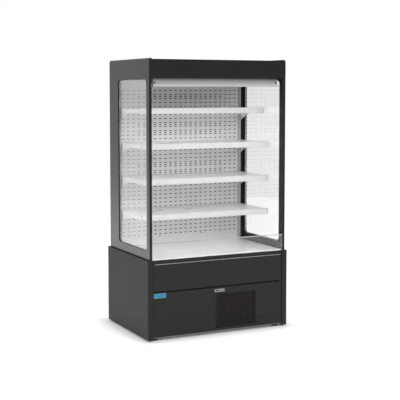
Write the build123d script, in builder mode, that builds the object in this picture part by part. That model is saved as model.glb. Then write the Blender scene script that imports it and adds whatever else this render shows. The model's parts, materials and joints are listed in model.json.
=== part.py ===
from build123d import *
import os

# Open multideck display fridge: a chilled cabinet with glazed ends, four lift-off shelves, a night
# blind under the canopy and the cooling machine in the base. Millimetres, +Z up, the front at -Y.
# The origin is on the floor under the middle of the cabinet.

os.makedirs("parts", exist_ok=True)

# ---------------------------------------------------------------- driving dimensions
width = 1138.0  # outside the base sides
depth = 770.0  # front to back of the base
height = 2000.0  # floor to the top of the end frames
foot_height = 22.0  # floor to the underside of the machine room
side_bottom = 10.0  # floor to the lower edge of the base sides

sheet = 1.2  # folded steel sheet
fold_radius = 2.0  # outside of a visible fold
skin = 1.0  # skins of the foamed walls
seat_gap = 0.3  # between a piece that moves and what it rests beside
running_gap = 0.05  # radial clearance of shafts and pins
panel_gap = 2.0  # between two neighbouring panels

# base
base_top = 579.0
base_side_thickness = 41.0
panel_recess = 3.0  # front panels lie this far behind the edges of the base sides
service_panel_top = 345.0
service_panel_bottom_gap = 3.0
groove_height = 10.0  # finger groove over the service panel
groove_stop_width = 20.0  # short closed end of the groove, on the right
groove_stop_recess = 0.5  # from the panel's face and edges
groove_stop_depth = 5.5
groove_back_drop = 12.0  # the groove's back strip hangs this far behind the service panel
bumper_top = 547.0
panel_return = 14.5
trim_height = 4.0
trim_depth = 12.0
trim_proud = 2.0
trim_end_gap = 10.0
trim_rounding = 1.2
top_rail_height = 26.0
top_rail_wall = 2.0
top_rail_rounding = 3.0
chassis_flange = 22.0
chassis_floor = 2.0
back_grille_recess = 22.0  # the machine room's back panel lies this far inside
back_slot_length = 90.0
back_slot_height = 6.0
back_slot_pitch = 30.0
back_slot_margin = 30.0  # under the lowest row
back_slot_rows = 12
back_slot_columns = 3
back_slot_spacing = 300.0

# louvres of the service panel
louvre_count = 17
louvre_pitch = 14.8
louvre_slot = 7.0
louvre_length = 333.0
louvre_middle_x = 136.5
louvre_middle_z = 170.0
louvre_lip = 2.4  # how far a pressed lip stands out
louvre_lip_root = 3.2  # the lip's height at the panel
louvre_lip_fall = 1.6  # its outer edge lies this far below the slot's top
louvre_lip_edge = 1.0  # its thickness there

# insulated well under the deck
well_bottom = 385.0
well_wall = 40.0
well_front = -366.0
well_back = 360.0
foam_hole_radius = 10.0
pipe_hole_gap = 3.0

# end frames and their glass
upper_side_inset = 17.0  # of the upper part inside the base, on each side
upper_inset = 13.0  # of the upper part inside the base, at the back
end_frame_thickness = 20.0
end_frame_rounding = 16.0  # along the top outer edge
window_front = -327.0
window_back = 200.0
window_bottom = 641.0
window_top = 1854.0
window_radius = 34.0
glass_recess = 9.0
glass_lap = 4.0  # the glass lies this far behind the lip
glass_seat = 10.0  # width of the pocket round the window
outer_pane = 4.0
inner_pane = 3.0
spacer_width = 10.0

# canopy
canopy_bottom = 1865.0
canopy_top = 1993.0
canopy_corner = 18.0
canopy_return = 37.8
canopy_side_gap = 1.0
roof_level = 1985.0
rear_wall_thickness = 46.0
rear_wall_inset = 2.0
rear_wall_top = 1960.0
outlet_front = -292.0  # air outlet in the canopy, front to back
outlet_depth = 70.0
outlet_width = 1000.0
outlet_height = 24.0
outlet_flange = 8.0
outlet_flange_thickness = 2.0
outlet_cell_wall = 1.5
outlet_drop = 14.0  # how far the grid hangs below the top of the liner
outlet_columns = 40
outlet_rows = 3
duct_opening_depth = 36.0
duct_opening_gap = 4.0
lamp_radius = 8.0
lamp_length = 900.0
lamp_y = -206.0
lamp_drop = 12.0
lamp_holder = 20.0
lamp_holder_length = 16.0
lamp_holder_grip = 2.0

# rear duct panel and slotted uprights
duct_panel_face = 276.0
duct_panel_half = 510.0
duct_panel_bottom = 587.0
duct_panel_lap = 5.5  # how far the uprights' cover strips lap over its side edges
slot_length = 20.0
slot_height = 6.0
slot_columns = 23
slot_column_pitch = 43.5
slot_rows = 37
slot_row_pitch = 30.84
slot_first_row = 664.0
extra_rows = (6.5, 15.5, 17.5, 25.5, 27.5, 34.5)  # half-way rows of closer slots
plain_edge_columns = 3  # columns at each side without the extra rows
duct_screw_radius = 4.0
duct_screw_head = 2.2
duct_screw_rounding = 1.0
duct_screw_z = 650.0
duct_screw_places = (-352.0, -180.0, 180.0, 352.0)
upright_width = 20.0
upright_depth = 40.0
upright_wall = 2.0
upright_bottom = 590.0
rack_pitch = 32.0
rack_slot_width = 4.0
rack_slot_height = 22.0
rack_slot_count = 38
rack_slots_below = 7  # slots below the lowest shelf's upper hook

# shelves
shelf_tops = (872.0, 1128.0, 1384.0, 1640.0)
shelf_front = -187.0
top_shelf_front = -120.0
shelf_back = 270.0
shelf_half = 520.0
shelf_edge = 28.0
shelf_front_edge = 34.0
shelf_notch = 11.0  # how far the rear corners are cut in to pass the uprights
upright_clearance = 3.0  # between the uprights and the shelves and the deck
shelf_rounding = 1.5
stiffener_gap = 4.0
stiffener_thickness = 2.0
rail_height = 44.0
rail_drop = 38.0  # from the shelf's top to the rail's lower edge
rail_wall = 1.6
rail_lip = 3.8
rail_rounding = 1.2
rail_clip_rise = 4.0  # of the inner clip over the shelf's lower edge
rail_clip_thickness = 2.0
rail_clip_sink = 0.1
bracket_thickness = 2.0
bracket_inset = 3.0  # from the shelf's end to the bracket
bracket_root = 96.0  # height at the upright
bracket_tip = 22.0
bracket_setback = 18.0  # from the shelf's front to the bracket's tip
bracket_knee_y = 60.0
bracket_knee = 32.0
bracket_belly_y = 160.0  # a point of the hollow lower edge
bracket_belly = 60.0
hook_height = 12.0
hook_drop = 5.0
hook_reach = 7.0
hook_upper = 22.0  # from the bracket's top to the upper hook
hook_clear = 1.0

# deck
deck_top = 585.0
deck_edge_gap = 3.0
deck_rounding = 1.2
return_grille_back = -112.0
return_slot_rows = (-300.0, -225.0)
return_slot_length = 40.0
return_slot_width = 6.0
return_slot_pitch = 50.0
return_slot_count = 20
deck_back_gap = 3.0

# clear riser along the front of the deck
riser_height = 122.0
riser_thickness = 5.0
riser_setback = 6.0  # behind the face of the rail that it stands on
riser_end_gap = 0.5

# night blind
blind_y = -318.0
cassette_radius = 22.0
cassette_half = 501.0
cassette_cap = 4.0
cassette_slit = 5.0
cassette_foot_places = (-400.0, 0.0, 400.0)
cassette_foot_length = 30.0
cassette_foot_width = 16.0
cassette_foot_height = 1.6
roll_radius = 17.5
roll_half = 490.0
roll_pin_radius = 4.0
roll_pin_length = 13.0
blind_half = 485.0
blind_thickness = 0.6
blind_fall_gap = 0.5  # between the roll and the falling cloth
blind_root = 1.0  # the cloth leaves the roll this far below its axis
bar_height = 20.0
bar_depth = 10.0
bar_half = 505.0
bar_wall = 1.6
bar_rounding = 3.0
bar_rib = 1.0  # extra thickness of its top and bottom walls
bar_end_wall = 3.0

# machine room
compressor_x, compressor_y = -230.0, 60.0
compressor_radius = 85.0
compressor_height = 190.0
compressor_dome = 38.0
compressor_plate = 200.0
compressor_plate_thickness = 3.5
compressor_seat = 3.0  # the shell's foot lies this far over the plate's underside
compressor_seam = 95.0  # the welded seam over the plate
compressor_seam_height = 5.0
compressor_seam_proud = 3.0
grommet_inset = 15.0
grommet_proud = 9.0
stub_wall = 1.5
terminal_box = (60.0, 40.0, 50.0)
terminal_box_sink = 15.0
terminal_box_rise = 35.0
grommet_height = 12.0
grommet_radius = 10.0
stub_length = 22.0
pipe_radius = 5.0
pipe_bend = 22.0
discharge_height = 140.0  # over the compressor's plate
suction_height = 110.0
pipe_loop = 65.0  # how far the lines loop out beside what they join
condenser_inlet = 200.0  # over the condenser's lower edge
condenser_outlet = 40.0
liquid_stand_off = 28.0  # from the evaporator's end plate
liquid_rise_y = -150.0
liquid_entry = (60.0, 75.0)  # Y, and height over the well's floor
suction_stand_off = 68.0
suction_exit = (130.0, 45.0)
condenser_left = 5.0
condenser_width = 290.0
condenser_front = -330.0
condenser_depth = 50.0
condenser_bottom = 50.0
condenser_height = 240.0
condenser_fin_pitch = 12.0
condenser_tubes = (6, 2)  # rows, columns
coil_tube_radius = 4.75
fin_thickness = 1.0
end_plate = 2.0
shroud_depth = 40.0
shroud_wall = 3.0
shroud_gap = 2.0  # behind the condenser
condenser_fan_radius = 100.0
condenser_fan_drop = 10.0  # of its axis under the condenser's middle
condenser_fan_hub = (24.0, 22.0)  # radius, depth
condenser_fan_blades = (5, 46.0, 24.0)  # number, chord, pitch in degrees
condenser_fan_gap = 8.0  # from the shroud's front to the hub
shroud_clearance = 5.0
tray_x = (150.0, 450.0)
tray_y = (60.0, 300.0)
tray_height = 40.0
tray_wall = 1.5

# evaporator and its fans
evaporator_half = 330.0
evaporator_front = -60.0
evaporator_depth = 250.0
evaporator_height = 130.0
evaporator_fin_pitch = 30.0
evaporator_tubes = (3, 4)
evaporator_lift = 6.0
fan_places = (-220.0, 220.0)
fan_frame_size = 140.0
fan_frame_front = -180.0
fan_frame_depth = 36.0
fan_radius = 62.0
fan_hub_radius = 21.0
fan_hub_depth = 20.0
fan_blades = (5, 34.0, 28.0)
fan_gap = 6.0  # from the frame's front to the hub
fan_mouth_clearance = 3.0
blade_thickness = 1.6
blade_sink = 3.0  # of the blades into the hub
motor_radius = 22.0
motor_length = 30.0
motor_arm_width = 10.0
motor_arm_thickness = 3.0
arm_sink = 2.0  # from the frame's edge to the arms' ends
mouth_ring = 3.0
shaft_radius = 3.0

# controls on the service panel
controller_width = 82.0
controller_height = 21.0
controller_z = 322.0
controller_proud = 2.6
controller_corner = 3.0
controller_edge = 0.8
controller_body_height = 17.0
controller_body_width = 70.0
controller_body_depth = 40.0
display_width = 34.0
display_height = 11.0
display_x = -18.0
display_depth = 0.8
key_places = (9.0, 20.0, 31.0)
key_width = 8.0
key_height = 7.0
key_depth = 1.8
key_clearance = 0.3
key_travel = 0.8
key_proud = 0.2  # beyond the bezel
key_corner = 1.2
key_edge = 0.3
rocker_places = (322.0, 362.0)
rocker_z = 108.0
rocker_width = 20.0
rocker_height = 28.0
rocker_depth = 9.0  # of its heel behind the panel's face
rocker_clearance = 0.5
rocker_end_gap = 1.4  # room for the ends to swing
rocker_side_gap = 0.4
rocker_dip = 0.4  # of the V's bottom behind the panel's face
rocker_low_proud = 0.2  # of the pressed end
rocker_high_proud = 2.4  # of the raised end
rocker_end_thickness = 5.0
rocker_pivot = 5.0  # behind the panel's face
rocker_pin_gap = 0.5
rocker_pin_radius = 1.5
housing_depth = 18.0
housing_wall = 2.5
housing_rim = 1.2
housing_lip = 0.4
housing_floor = 2.0

# feet and mains gland
foot_x, foot_y_front, foot_y_back = 497.0, -330.0, 335.0
foot_radius = 24.0
foot_rounding = 3.0
foot_pad = 11.0
stem_radius = 6.0
stem_top = 52.0
boss_radius = 15.0
boss_height = 20.0
nut_radius = 10.0
gland_x, gland_z = -440.0, 110.0
gland_bore = 4.5
gland_thread = 8.9
gland_flange = 13.0
gland_thread_length = 14.0
gland_nut_height = 6.0
gland_dome_height = 10.0
gland_dome_wall = 1.5
gland_rounding = 3.0

# ---------------------------------------------------------------- derived places
half_width = width / 2
front = -depth / 2
back = depth / 2
base_inner = half_width - base_side_thickness
panel_face = front + panel_recess
panel_half = base_inner - panel_gap
upper_half = half_width - upper_side_inset
upper_inner = upper_half - end_frame_thickness
canopy_face = front + 6.0
end_frame_front = canopy_face + sheet
upper_back = back - upper_inset
bumper_bottom = service_panel_top + groove_height
rail_bottom = bumper_top + trim_height
rail_top = rail_bottom + top_rail_height
roof_flange = roof_level - rear_wall_top
room_floor = foot_height + chassis_floor
back_panel_y = back - back_grille_recess
well_floor = well_bottom + well_wall
rear_wall_back = upper_back - rear_wall_inset
rear_wall_front = rear_wall_back - rear_wall_thickness
upright_face = duct_panel_face - upright_depth
upright_inner = upper_inner - upright_width
bracket_x = shelf_half - bracket_inset - bracket_thickness
first_slot = shelf_tops[0] - sheet - hook_upper - rack_slots_below * rack_pitch
shelf_fronts = (shelf_front, shelf_front, shelf_front, top_shelf_front)
deck_half = upper_inner - deck_edge_gap
cassette_z = canopy_bottom - cassette_radius
bar_top = canopy_bottom - 2 * cassette_radius
blind_plane = blind_y - roll_radius - blind_fall_gap
fan_z = well_floor + fan_frame_size / 2
condenser_fan_x = condenser_left + condenser_width / 2
condenser_fan_z = condenser_bottom + condenser_height / 2 - condenser_fan_drop
shroud_front = condenser_front + condenser_depth + shroud_gap


# ---------------------------------------------------------------- helpers
def block(x, y, z, mode=Mode.ADD):
    """A box between two limits on each axis."""
    with Locations(((x[0] + x[1]) / 2, (y[0] + y[1]) / 2, (z[0] + z[1]) / 2)):
        Box(x[1] - x[0], y[1] - y[0], z[1] - z[0], mode=mode)


def rod(radius, start, direction, length, mode=Mode.ADD):
    """A round bar from a point, along a direction."""
    with Locations(Plane(origin=start, z_dir=direction)):
        Cylinder(radius, length, align=(Align.CENTER, Align.CENTER, Align.MIN), mode=mode)


def on_side(side, near, far):
    """Limits along X of what lies between two distances from the middle, on one side."""
    return tuple(sorted((side * near, side * far)))


def perforated(plane, centre, size, places, hole):
    """Rectangular face on a plane, with equal rectangular holes at given places."""
    spots = [plane.shift_origin(plane.from_local_coords(place)) for place in places]
    outline = Wire.make_rect(*size, plane=plane.shift_origin(plane.from_local_coords(centre)))
    return Face(outline, [Wire.make_rect(*hole, plane=spot) for spot in spots])


def keep(part, label):
    """Names a finished piece and writes it to its own file."""
    part.label = label
    export_step(part, f"parts/{label}.step")


# ---------------------------------------------------------------- base
def chassis():
    """Floor tray of the machine room, with a boss over each foot."""
    floor_front, floor_back = panel_face + sheet + seat_gap, back_panel_y
    wall_top = foot_height + chassis_flange
    with BuildPart() as tray:
        block((-base_inner, base_inner), (floor_front, floor_back), (foot_height, room_floor))
        front_half = panel_half - sheet - panel_gap
        block((-front_half, front_half), (floor_front, floor_front + sheet), (foot_height, wall_top))
        block((-base_inner, base_inner), (floor_back - sheet, floor_back), (foot_height, wall_top))
        for side in (-1, 1):
            edge = on_side(side, base_inner - sheet, base_inner)
            block(edge, (floor_front + panel_return, floor_back), (foot_height, wall_top))
            for y in (foot_y_front, foot_y_back):
                rod(boss_radius, (side * foot_x, y, foot_height), (0, 0, 1), boss_height)
        for side in (-1, 1):
            for y in (foot_y_front, foot_y_back):
                bore = stem_radius + running_gap
                rod(bore, (side * foot_x, y, foot_height), (0, 0, 1), boss_height, Mode.SUBTRACT)
    return tray.part


def base_side(side):
    """Folded side panel of the base: a shallow tray that is open towards the machine room."""
    with BuildPart() as panel:
        block(on_side(side, base_inner, half_width), (front, back), (side_bottom, base_top))
        outer = panel.faces().sort_by(Axis.X)[-1 if side > 0 else 0]
        fillet(outer.edges(), radius=fold_radius)
        inside = on_side(side, base_inner, half_width - sheet)
        block(inside, (front + sheet, back - sheet), (side_bottom + sheet, base_top - sheet), Mode.SUBTRACT)
    return panel.part


def base_back_grille():
    """Vented back panel of the machine room, with the hole for the mains gland."""
    with BuildPart() as panel:
        y = (back_panel_y, back_panel_y + sheet)
        block((-base_inner, base_inner), y, (room_floor, base_top))
        middle_z = room_floor + (back_slot_rows * back_slot_pitch) / 2 + back_slot_margin
        with BuildSketch(Plane.XZ.offset(-back_panel_y)):
            with Locations((0, middle_z)):
                with GridLocations(back_slot_spacing, back_slot_pitch, back_slot_columns, back_slot_rows):
                    SlotOverall(back_slot_length, back_slot_height)
        extrude(amount=-sheet, mode=Mode.SUBTRACT)
        hole = gland_thread + running_gap
        rod(hole, (gland_x, back_panel_y, gland_z), (0, 1, 0), sheet, Mode.SUBTRACT)
    return panel.part


def bumper_fascia():
    """Folded front panel over the groove, with the groove's back strip and short closed end."""
    with BuildPart() as panel:
        block((-panel_half, panel_half), (panel_face, well_front), (bumper_bottom, bumper_top))
        face = panel.faces().sort_by(Axis.Y)[0]
        fillet(face.edges(), radius=fold_radius)
        inside = panel_half - sheet
        block((-inside, inside), (panel_face + sheet, well_front),
              (bumper_bottom + sheet, bumper_top - sheet), Mode.SUBTRACT)
        strip_z = (service_panel_top - groove_back_drop, bumper_bottom + sheet)
        block((-inside, inside), (well_front - sheet, well_front), strip_z)
        stop_y = panel_face + groove_stop_recess
        block((panel_half - groove_stop_width, panel_half), (stop_y, stop_y + groove_stop_depth),
              (service_panel_top + groove_stop_recess, bumper_bottom + groove_stop_recess))
    return panel.part


def bumper_trim():
    """Bright strip between the front panel and the top rail."""
    half = panel_half - trim_end_gap
    with BuildPart() as strip:
        y = (panel_face - trim_proud, panel_face - trim_proud + trim_depth)
        block((-half, half), y, (bumper_top, rail_bottom))
        nose = strip.faces().sort_by(Axis.Y)[0]
        fillet(nose.edges().filter_by(Axis.X), radius=trim_rounding)
    return strip.part


def top_rail():
    """Dark rail along the front of the deck, a channel that is open to the back."""
    with BuildPart() as rail:
        block((-panel_half, panel_half), (panel_face, well_front), (rail_bottom, rail_top))
        nose = rail.edges().filter_by(Axis.X).group_by(Axis.Y)[0]
        fillet(nose, radius=top_rail_rounding)
        inside = (rail_bottom + top_rail_wall, rail_top - top_rail_wall)
        block((-panel_half, panel_half), (panel_face + top_rail_wall, well_front), inside, Mode.SUBTRACT)
    return rail.part


# pipe routes: each is a list of corner points, worked from what it joins
stub_right = compressor_x + compressor_radius + stub_length
stub_left = compressor_x - compressor_radius - stub_length
discharge_z = room_floor + grommet_height + discharge_height
suction_z = room_floor + grommet_height + suction_height
condenser_mid_y = condenser_front + condenser_depth / 2
condenser_end = condenser_left - end_plate
evaporator_end = -(evaporator_half + end_plate)
inlet_z = condenser_bottom + condenser_inlet
outlet_z = condenser_bottom + condenser_outlet
liquid_rise = (evaporator_end - liquid_stand_off, liquid_rise_y)
liquid_z = well_floor + liquid_entry[1]
suction_rise = (evaporator_end - suction_stand_off, suction_exit[0])
suction_exit_z = well_floor + suction_exit[1]
discharge_route = (
    (stub_right, compressor_y, discharge_z),
    (stub_right + pipe_loop, compressor_y, discharge_z),
    (stub_right + pipe_loop, condenser_mid_y, discharge_z),
    (stub_right + pipe_loop, condenser_mid_y, inlet_z),
    (condenser_end, condenser_mid_y, inlet_z),
)
liquid_route = (
    (condenser_end, condenser_mid_y, outlet_z),
    (condenser_end - pipe_loop, condenser_mid_y, outlet_z),
    (condenser_end - pipe_loop, liquid_rise[1], outlet_z),
    (liquid_rise[0], liquid_rise[1], outlet_z),
    (liquid_rise[0], liquid_rise[1], liquid_z),
    (liquid_rise[0], liquid_entry[0], liquid_z),
    (evaporator_end, liquid_entry[0], liquid_z),
)
suction_route = (
    (evaporator_end, suction_rise[1], suction_exit_z),
    (suction_rise[0], suction_rise[1], suction_exit_z),
    (suction_rise[0], suction_rise[1], suction_z),
    (suction_rise[0], compressor_y, suction_z),
    (stub_left, compressor_y, suction_z),
)


def insulated_well():
    """Double-skinned tub under the deck, where the evaporator and its fans stand."""
    with BuildPart() as tub:
        block((-base_inner, base_inner), (well_front, well_back), (well_bottom, base_top))
        x_void = base_inner - skin
        block((-x_void, x_void), (well_front + skin, well_back - skin),
              (well_bottom + skin, base_top - skin), Mode.SUBTRACT)
        x_in = base_inner - well_wall
        y_in = (well_front + well_wall, well_back - well_wall)
        block((-x_in - skin, x_in + skin), (y_in[0] - skin, y_in[1] + skin), (well_floor - skin, base_top))
        block((-x_in, x_in), y_in, (well_floor, base_top), Mode.SUBTRACT)
        pipe_hole = pipe_radius + pipe_hole_gap
        for x, y in (liquid_rise, suction_rise):
            rod(pipe_hole, (x, y, well_bottom), (0, 0, 1), well_wall, Mode.SUBTRACT)
        rod(foam_hole_radius, (0, 0, well_bottom), (0, 0, 1), skin, Mode.SUBTRACT)
    return tub.part


def service_panel():
    """Pull-off front panel of the machine room, with pressed louvres and cut-outs for the controls."""
    bottom = foot_height + service_panel_bottom_gap
    with BuildPart() as panel:
        block((-panel_half, panel_half), (panel_face, panel_face + panel_return), (bottom, service_panel_top))
        face = panel.faces().sort_by(Axis.Y)[0]
        fillet(face.edges(), radius=fold_radius)
        inside = panel_half - sheet
        block((-inside, inside), (panel_face + sheet, panel_face + panel_return),
              (bottom - sheet, service_panel_top - sheet), Mode.SUBTRACT)
        with BuildSketch(Plane.XZ.offset(-panel_face)):
            with Locations((louvre_middle_x, louvre_middle_z)):
                with GridLocations(1, louvre_pitch, 1, louvre_count):
                    Rectangle(louvre_length, louvre_slot)
            with Locations((0, controller_z)):
                Rectangle(controller_body_width, controller_body_height)
            for x in rocker_places:
                with Locations((x, rocker_z)):
                    Rectangle(rocker_width + 2 * rocker_clearance, rocker_height + 2 * rocker_clearance)
        extrude(amount=-sheet, mode=Mode.SUBTRACT)
        lip_x = louvre_middle_x - louvre_length / 2
        first_row = louvre_middle_z - (louvre_count - 1) / 2 * louvre_pitch + louvre_slot / 2
        lip_roots = [(panel_face, first_row + row * louvre_pitch) for row in range(louvre_count)]
        with BuildSketch(Plane.YZ.offset(lip_x)):
            with Locations(*lip_roots):
                Polygon((0, louvre_lip_root), (0, 0), (-louvre_lip, -louvre_lip_fall),
                        (-louvre_lip, louvre_lip_edge - louvre_lip_fall), align=None)
        extrude(amount=louvre_length)
    return panel.part


# ---------------------------------------------------------------- controls
def controller():
    """Digital controller: a bezel with a sunk display and three key wells, on a box behind the panel."""
    bezel_face = panel_face - controller_proud
    z_half = controller_height / 2
    with BuildPart() as box:
        x = (-controller_width / 2, controller_width / 2)
        block(x, (bezel_face, panel_face), (controller_z - z_half, controller_z + z_half))
        fillet(box.edges().filter_by(Axis.Y), radius=controller_corner)
        face = box.faces().sort_by(Axis.Y)[0]
        fillet(face.edges(), radius=controller_edge)
        body_z = controller_body_height / 2
        body_x = controller_body_width / 2
        block((-body_x, body_x), (panel_face, panel_face + controller_body_depth),
              (controller_z - body_z, controller_z + body_z))
        block((display_x - display_width / 2, display_x + display_width / 2),
              (bezel_face, bezel_face + display_depth),
              (controller_z - display_height / 2, controller_z + display_height / 2), Mode.SUBTRACT)
        for key in key_places:
            kx = key_width / 2 + key_clearance
            kz = key_height / 2 + key_clearance
            block((key - kx, key + kx), (bezel_face, bezel_face + key_depth + key_travel),
                  (controller_z - kz, controller_z + kz), Mode.SUBTRACT)
    return box.part


def controller_key(x):
    """One key, its face a little proud of the bezel."""
    key_face = panel_face - controller_proud - key_proud
    with BuildPart() as key:
        block((x - key_width / 2, x + key_width / 2), (key_face, key_face + key_depth),
              (controller_z - key_height / 2, controller_z + key_height / 2))
        fillet(key.edges().filter_by(Axis.Y), radius=key_corner)
        fillet(key.faces().sort_by(Axis.Y)[0].edges(), radius=key_edge)
    return key.part


def switch_housings():
    """The two rocker switches' boxes, with a thin rim in front of the panel and a pivot bore."""
    with BuildPart() as boxes:
        for x in rocker_places:
            half_x = rocker_width / 2 + rocker_clearance
            half_z = rocker_height / 2 + rocker_clearance
            rim = half_x + housing_wall
            rim_z = half_z + housing_wall
            block((x - rim, x + rim), (panel_face - housing_rim, panel_face), (rocker_z - rim_z, rocker_z + rim_z))
            block((x - rim, x + rim), (panel_face + sheet, panel_face + housing_depth),
                  (rocker_z - rim_z, rocker_z + rim_z))
            block((x - half_x, x + half_x), (panel_face, panel_face + sheet), (rocker_z - half_z, rocker_z + half_z))
            well_x = half_x - housing_lip
            well_z = half_z - housing_lip
            block((x - well_x, x + well_x), (panel_face - housing_rim, panel_face + housing_depth - housing_floor),
                  (rocker_z - well_z, rocker_z + well_z), Mode.SUBTRACT)
            bore = rocker_pin_radius + running_gap
            rod(bore, (x - rim, panel_face + rocker_pivot, rocker_z), (1, 0, 0), 2 * rim, Mode.SUBTRACT)
    return boxes.part


def rocker(x):
    """Rocker with a shallow V face and two pivot pins; it rests with its lower end pressed."""
    low = rocker_z - rocker_height / 2 + rocker_end_gap
    high = rocker_z + rocker_height / 2 - rocker_end_gap
    half_width_x = rocker_width / 2 - rocker_side_gap
    with BuildPart() as piece:
        with BuildSketch(Plane.YZ.offset(x - half_width_x)):
            with BuildLine():
                Polyline(
                    (panel_face - rocker_low_proud, low),
                    (panel_face + rocker_dip, rocker_z),
                    (panel_face - rocker_high_proud, high),
                    (panel_face - rocker_high_proud + rocker_end_thickness, high),
                    (panel_face + rocker_depth, rocker_z),
                    (panel_face - rocker_low_proud + rocker_end_thickness, low),
                    close=True,
                )
            make_face()
        extrude(amount=2 * half_width_x)
        pin = rocker_width / 2 + rocker_clearance + housing_wall - rocker_pin_gap
        rod(rocker_pin_radius, (x - pin, panel_face + rocker_pivot, rocker_z), (1, 0, 0), 2 * pin)
    return piece.part


# ---------------------------------------------------------------- feet and gland
def levelling_foot(x, y):
    """Levelling foot: a round pad, a nut and a stem that turns in the chassis boss."""
    with BuildPart() as foot:
        rod(foot_radius, (x, y, 0), (0, 0, 1), foot_pad)
        fillet(foot.edges().filter_by(GeomType.CIRCLE).group_by(Axis.Z)[-1], radius=foot_rounding)
        with BuildSketch(Plane.XY.offset(foot_pad)):
            with Locations((x, y)):
                RegularPolygon(nut_radius, 6)
        extrude(amount=foot_height - foot_pad)
        rod(stem_radius, (x, y, foot_pad), (0, 0, 1), stem_top - foot_pad)
    return foot.part


def cable_gland():
    """Mains gland in the back panel: thread, nut, flange and dome, with an open bore."""
    face = back_panel_y + sheet
    thread_start = face - gland_thread_length
    with BuildPart() as gland:
        rod(gland_thread, (gland_x, thread_start, gland_z), (0, 1, 0), gland_thread_length)
        for start in (back_panel_y - gland_nut_height, face):
            with BuildSketch(Plane.XZ.offset(-start)):
                with Locations((gland_x, gland_z)):
                    RegularPolygon(gland_flange, 6)
            extrude(amount=-gland_nut_height)
        dome = (gland_x, face + gland_nut_height, gland_z)
        rod(gland_thread + gland_dome_wall, dome, (0, 1, 0), gland_dome_height)
        fillet(gland.faces().sort_by(Axis.Y)[-1].edges(), radius=gland_rounding)
        whole = gland_thread_length + gland_nut_height + gland_dome_height
        rod(gland_bore, (gland_x, thread_start, gland_z), (0, 1, 0), whole, Mode.SUBTRACT)
    return gland.part


# ---------------------------------------------------------------- cooling machine
def fan(x, y, z, radius, hub_radius, hub_depth, blades, chord, pitch_angle):
    """Axial fan wheel that turns about an axis along Y, with a bore for its motor's shaft."""
    with BuildPart(Plane(origin=(x, y, z), x_dir=(1, 0, 0), z_dir=(0, 1, 0))) as wheel:
        Cylinder(hub_radius, hub_depth)
        blade_length = radius - hub_radius + blade_sink
        with PolarLocations(hub_radius - blade_sink + blade_length / 2, blades):
            Box(blade_length, chord, blade_thickness, rotation=(pitch_angle, 0, 0))
        Cylinder(shaft_radius + running_gap, hub_depth, mode=Mode.SUBTRACT)
    return wheel.part


def motor_on_arms(x, y, z, reach, shaft_front):
    """Fan motor with its shaft, on a cross of two arms; it joins the part being built."""
    rod(motor_radius, (x, y, z), (0, 1, 0), motor_length)
    rod(shaft_radius, (x, shaft_front, z), (0, 1, 0), y - shaft_front)
    half_arm = motor_arm_width / 2
    arm_y = (y, y + motor_arm_thickness)
    block((x - reach, x + reach), arm_y, (z - half_arm, z + half_arm))
    block((x - half_arm, x + half_arm), arm_y, (z - reach, z + reach))


def evaporator_fan_frames():
    """The two frames of the evaporator fans, each with a round mouth, a motor and its arms."""
    half = fan_frame_size / 2
    with BuildPart() as frames:
        for x in fan_places:
            block((x - half, x + half), (fan_frame_front, fan_frame_front + fan_frame_depth),
                  (well_floor, well_floor + fan_frame_size))
            mouth = fan_radius + fan_mouth_clearance
            rod(mouth, (x, fan_frame_front, fan_z), (0, 1, 0), fan_frame_depth, Mode.SUBTRACT)
        arm_front = fan_frame_front + fan_frame_depth - motor_arm_thickness
        for x in fan_places:
            motor_on_arms(x, arm_front, fan_z, half - arm_sink, fan_frame_front + fan_gap)
    return frames.part


def finned_coil(x_left, x_right, y_front, y_back, z_low, z_high, foot, pitch, tube_rows, tube_columns):
    """Coil block: end plates that stand on a floor, and fins on tubes, with open gaps between the fins."""
    length = x_right - x_left
    fins = int(length // pitch)
    first_gap = x_left + (length - (fins - 1) * pitch - fin_thickness) / 2 - pitch + fin_thickness
    gap_starts = [first_gap + index * pitch for index in range(fins + 1)]
    gap_starts[0] = x_left
    gap_width = pitch - fin_thickness
    middle = ((y_front + y_back) / 2, (z_low + z_high) / 2)
    size = (y_back - y_front, z_high - z_low)
    tube_places = [
        (y_front + (column + 0.5) * size[0] / tube_columns, z_low + (row + 0.5) * size[1] / tube_rows)
        for row in range(tube_rows)
        for column in range(tube_columns)
    ]
    with BuildPart() as coil:
        block((x_left, x_right), (y_front, y_back), (z_low, z_high))
        with BuildSketch(*[Plane.YZ.offset(x) for x in gap_starts[1:-1]]):
            with Locations(middle):
                Rectangle(size[0] + end_plate, size[1] + end_plate)
            with Locations(*tube_places):
                Circle(coil_tube_radius, mode=Mode.SUBTRACT)
        extrude(amount=gap_width, mode=Mode.SUBTRACT)
        for x in (x_left - end_plate, x_right):
            block((x, x + end_plate), (y_front, y_back), (foot, z_high))
    return coil.part


def condenser_fan_shroud():
    """Shroud behind the condenser, with the round fan mouth, the motor and its arms."""
    mouth = condenser_fan_radius + shroud_clearance
    x = (condenser_left - end_plate, condenser_left + condenser_width + end_plate)
    y = (shroud_front, shroud_front + shroud_depth)
    top = condenser_bottom + condenser_height
    with BuildPart() as shroud:
        block(x, y, (room_floor, top))
        inner = (x[0] + shroud_wall, x[1] - shroud_wall)
        block(inner, (y[0] + shroud_wall, y[1]), (room_floor + shroud_wall, top - shroud_wall), Mode.SUBTRACT)
        centre = (condenser_fan_x, shroud_front, condenser_fan_z)
        rod(mouth + mouth_ring, centre, (0, 1, 0), shroud_depth)
        rod(mouth, centre, (0, 1, 0), shroud_depth, Mode.SUBTRACT)
        arm_front = y[1] - motor_arm_thickness
        motor_on_arms(condenser_fan_x, arm_front, condenser_fan_z, mouth + 1.0, shroud_front + condenser_fan_gap)
    return shroud.part


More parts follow.
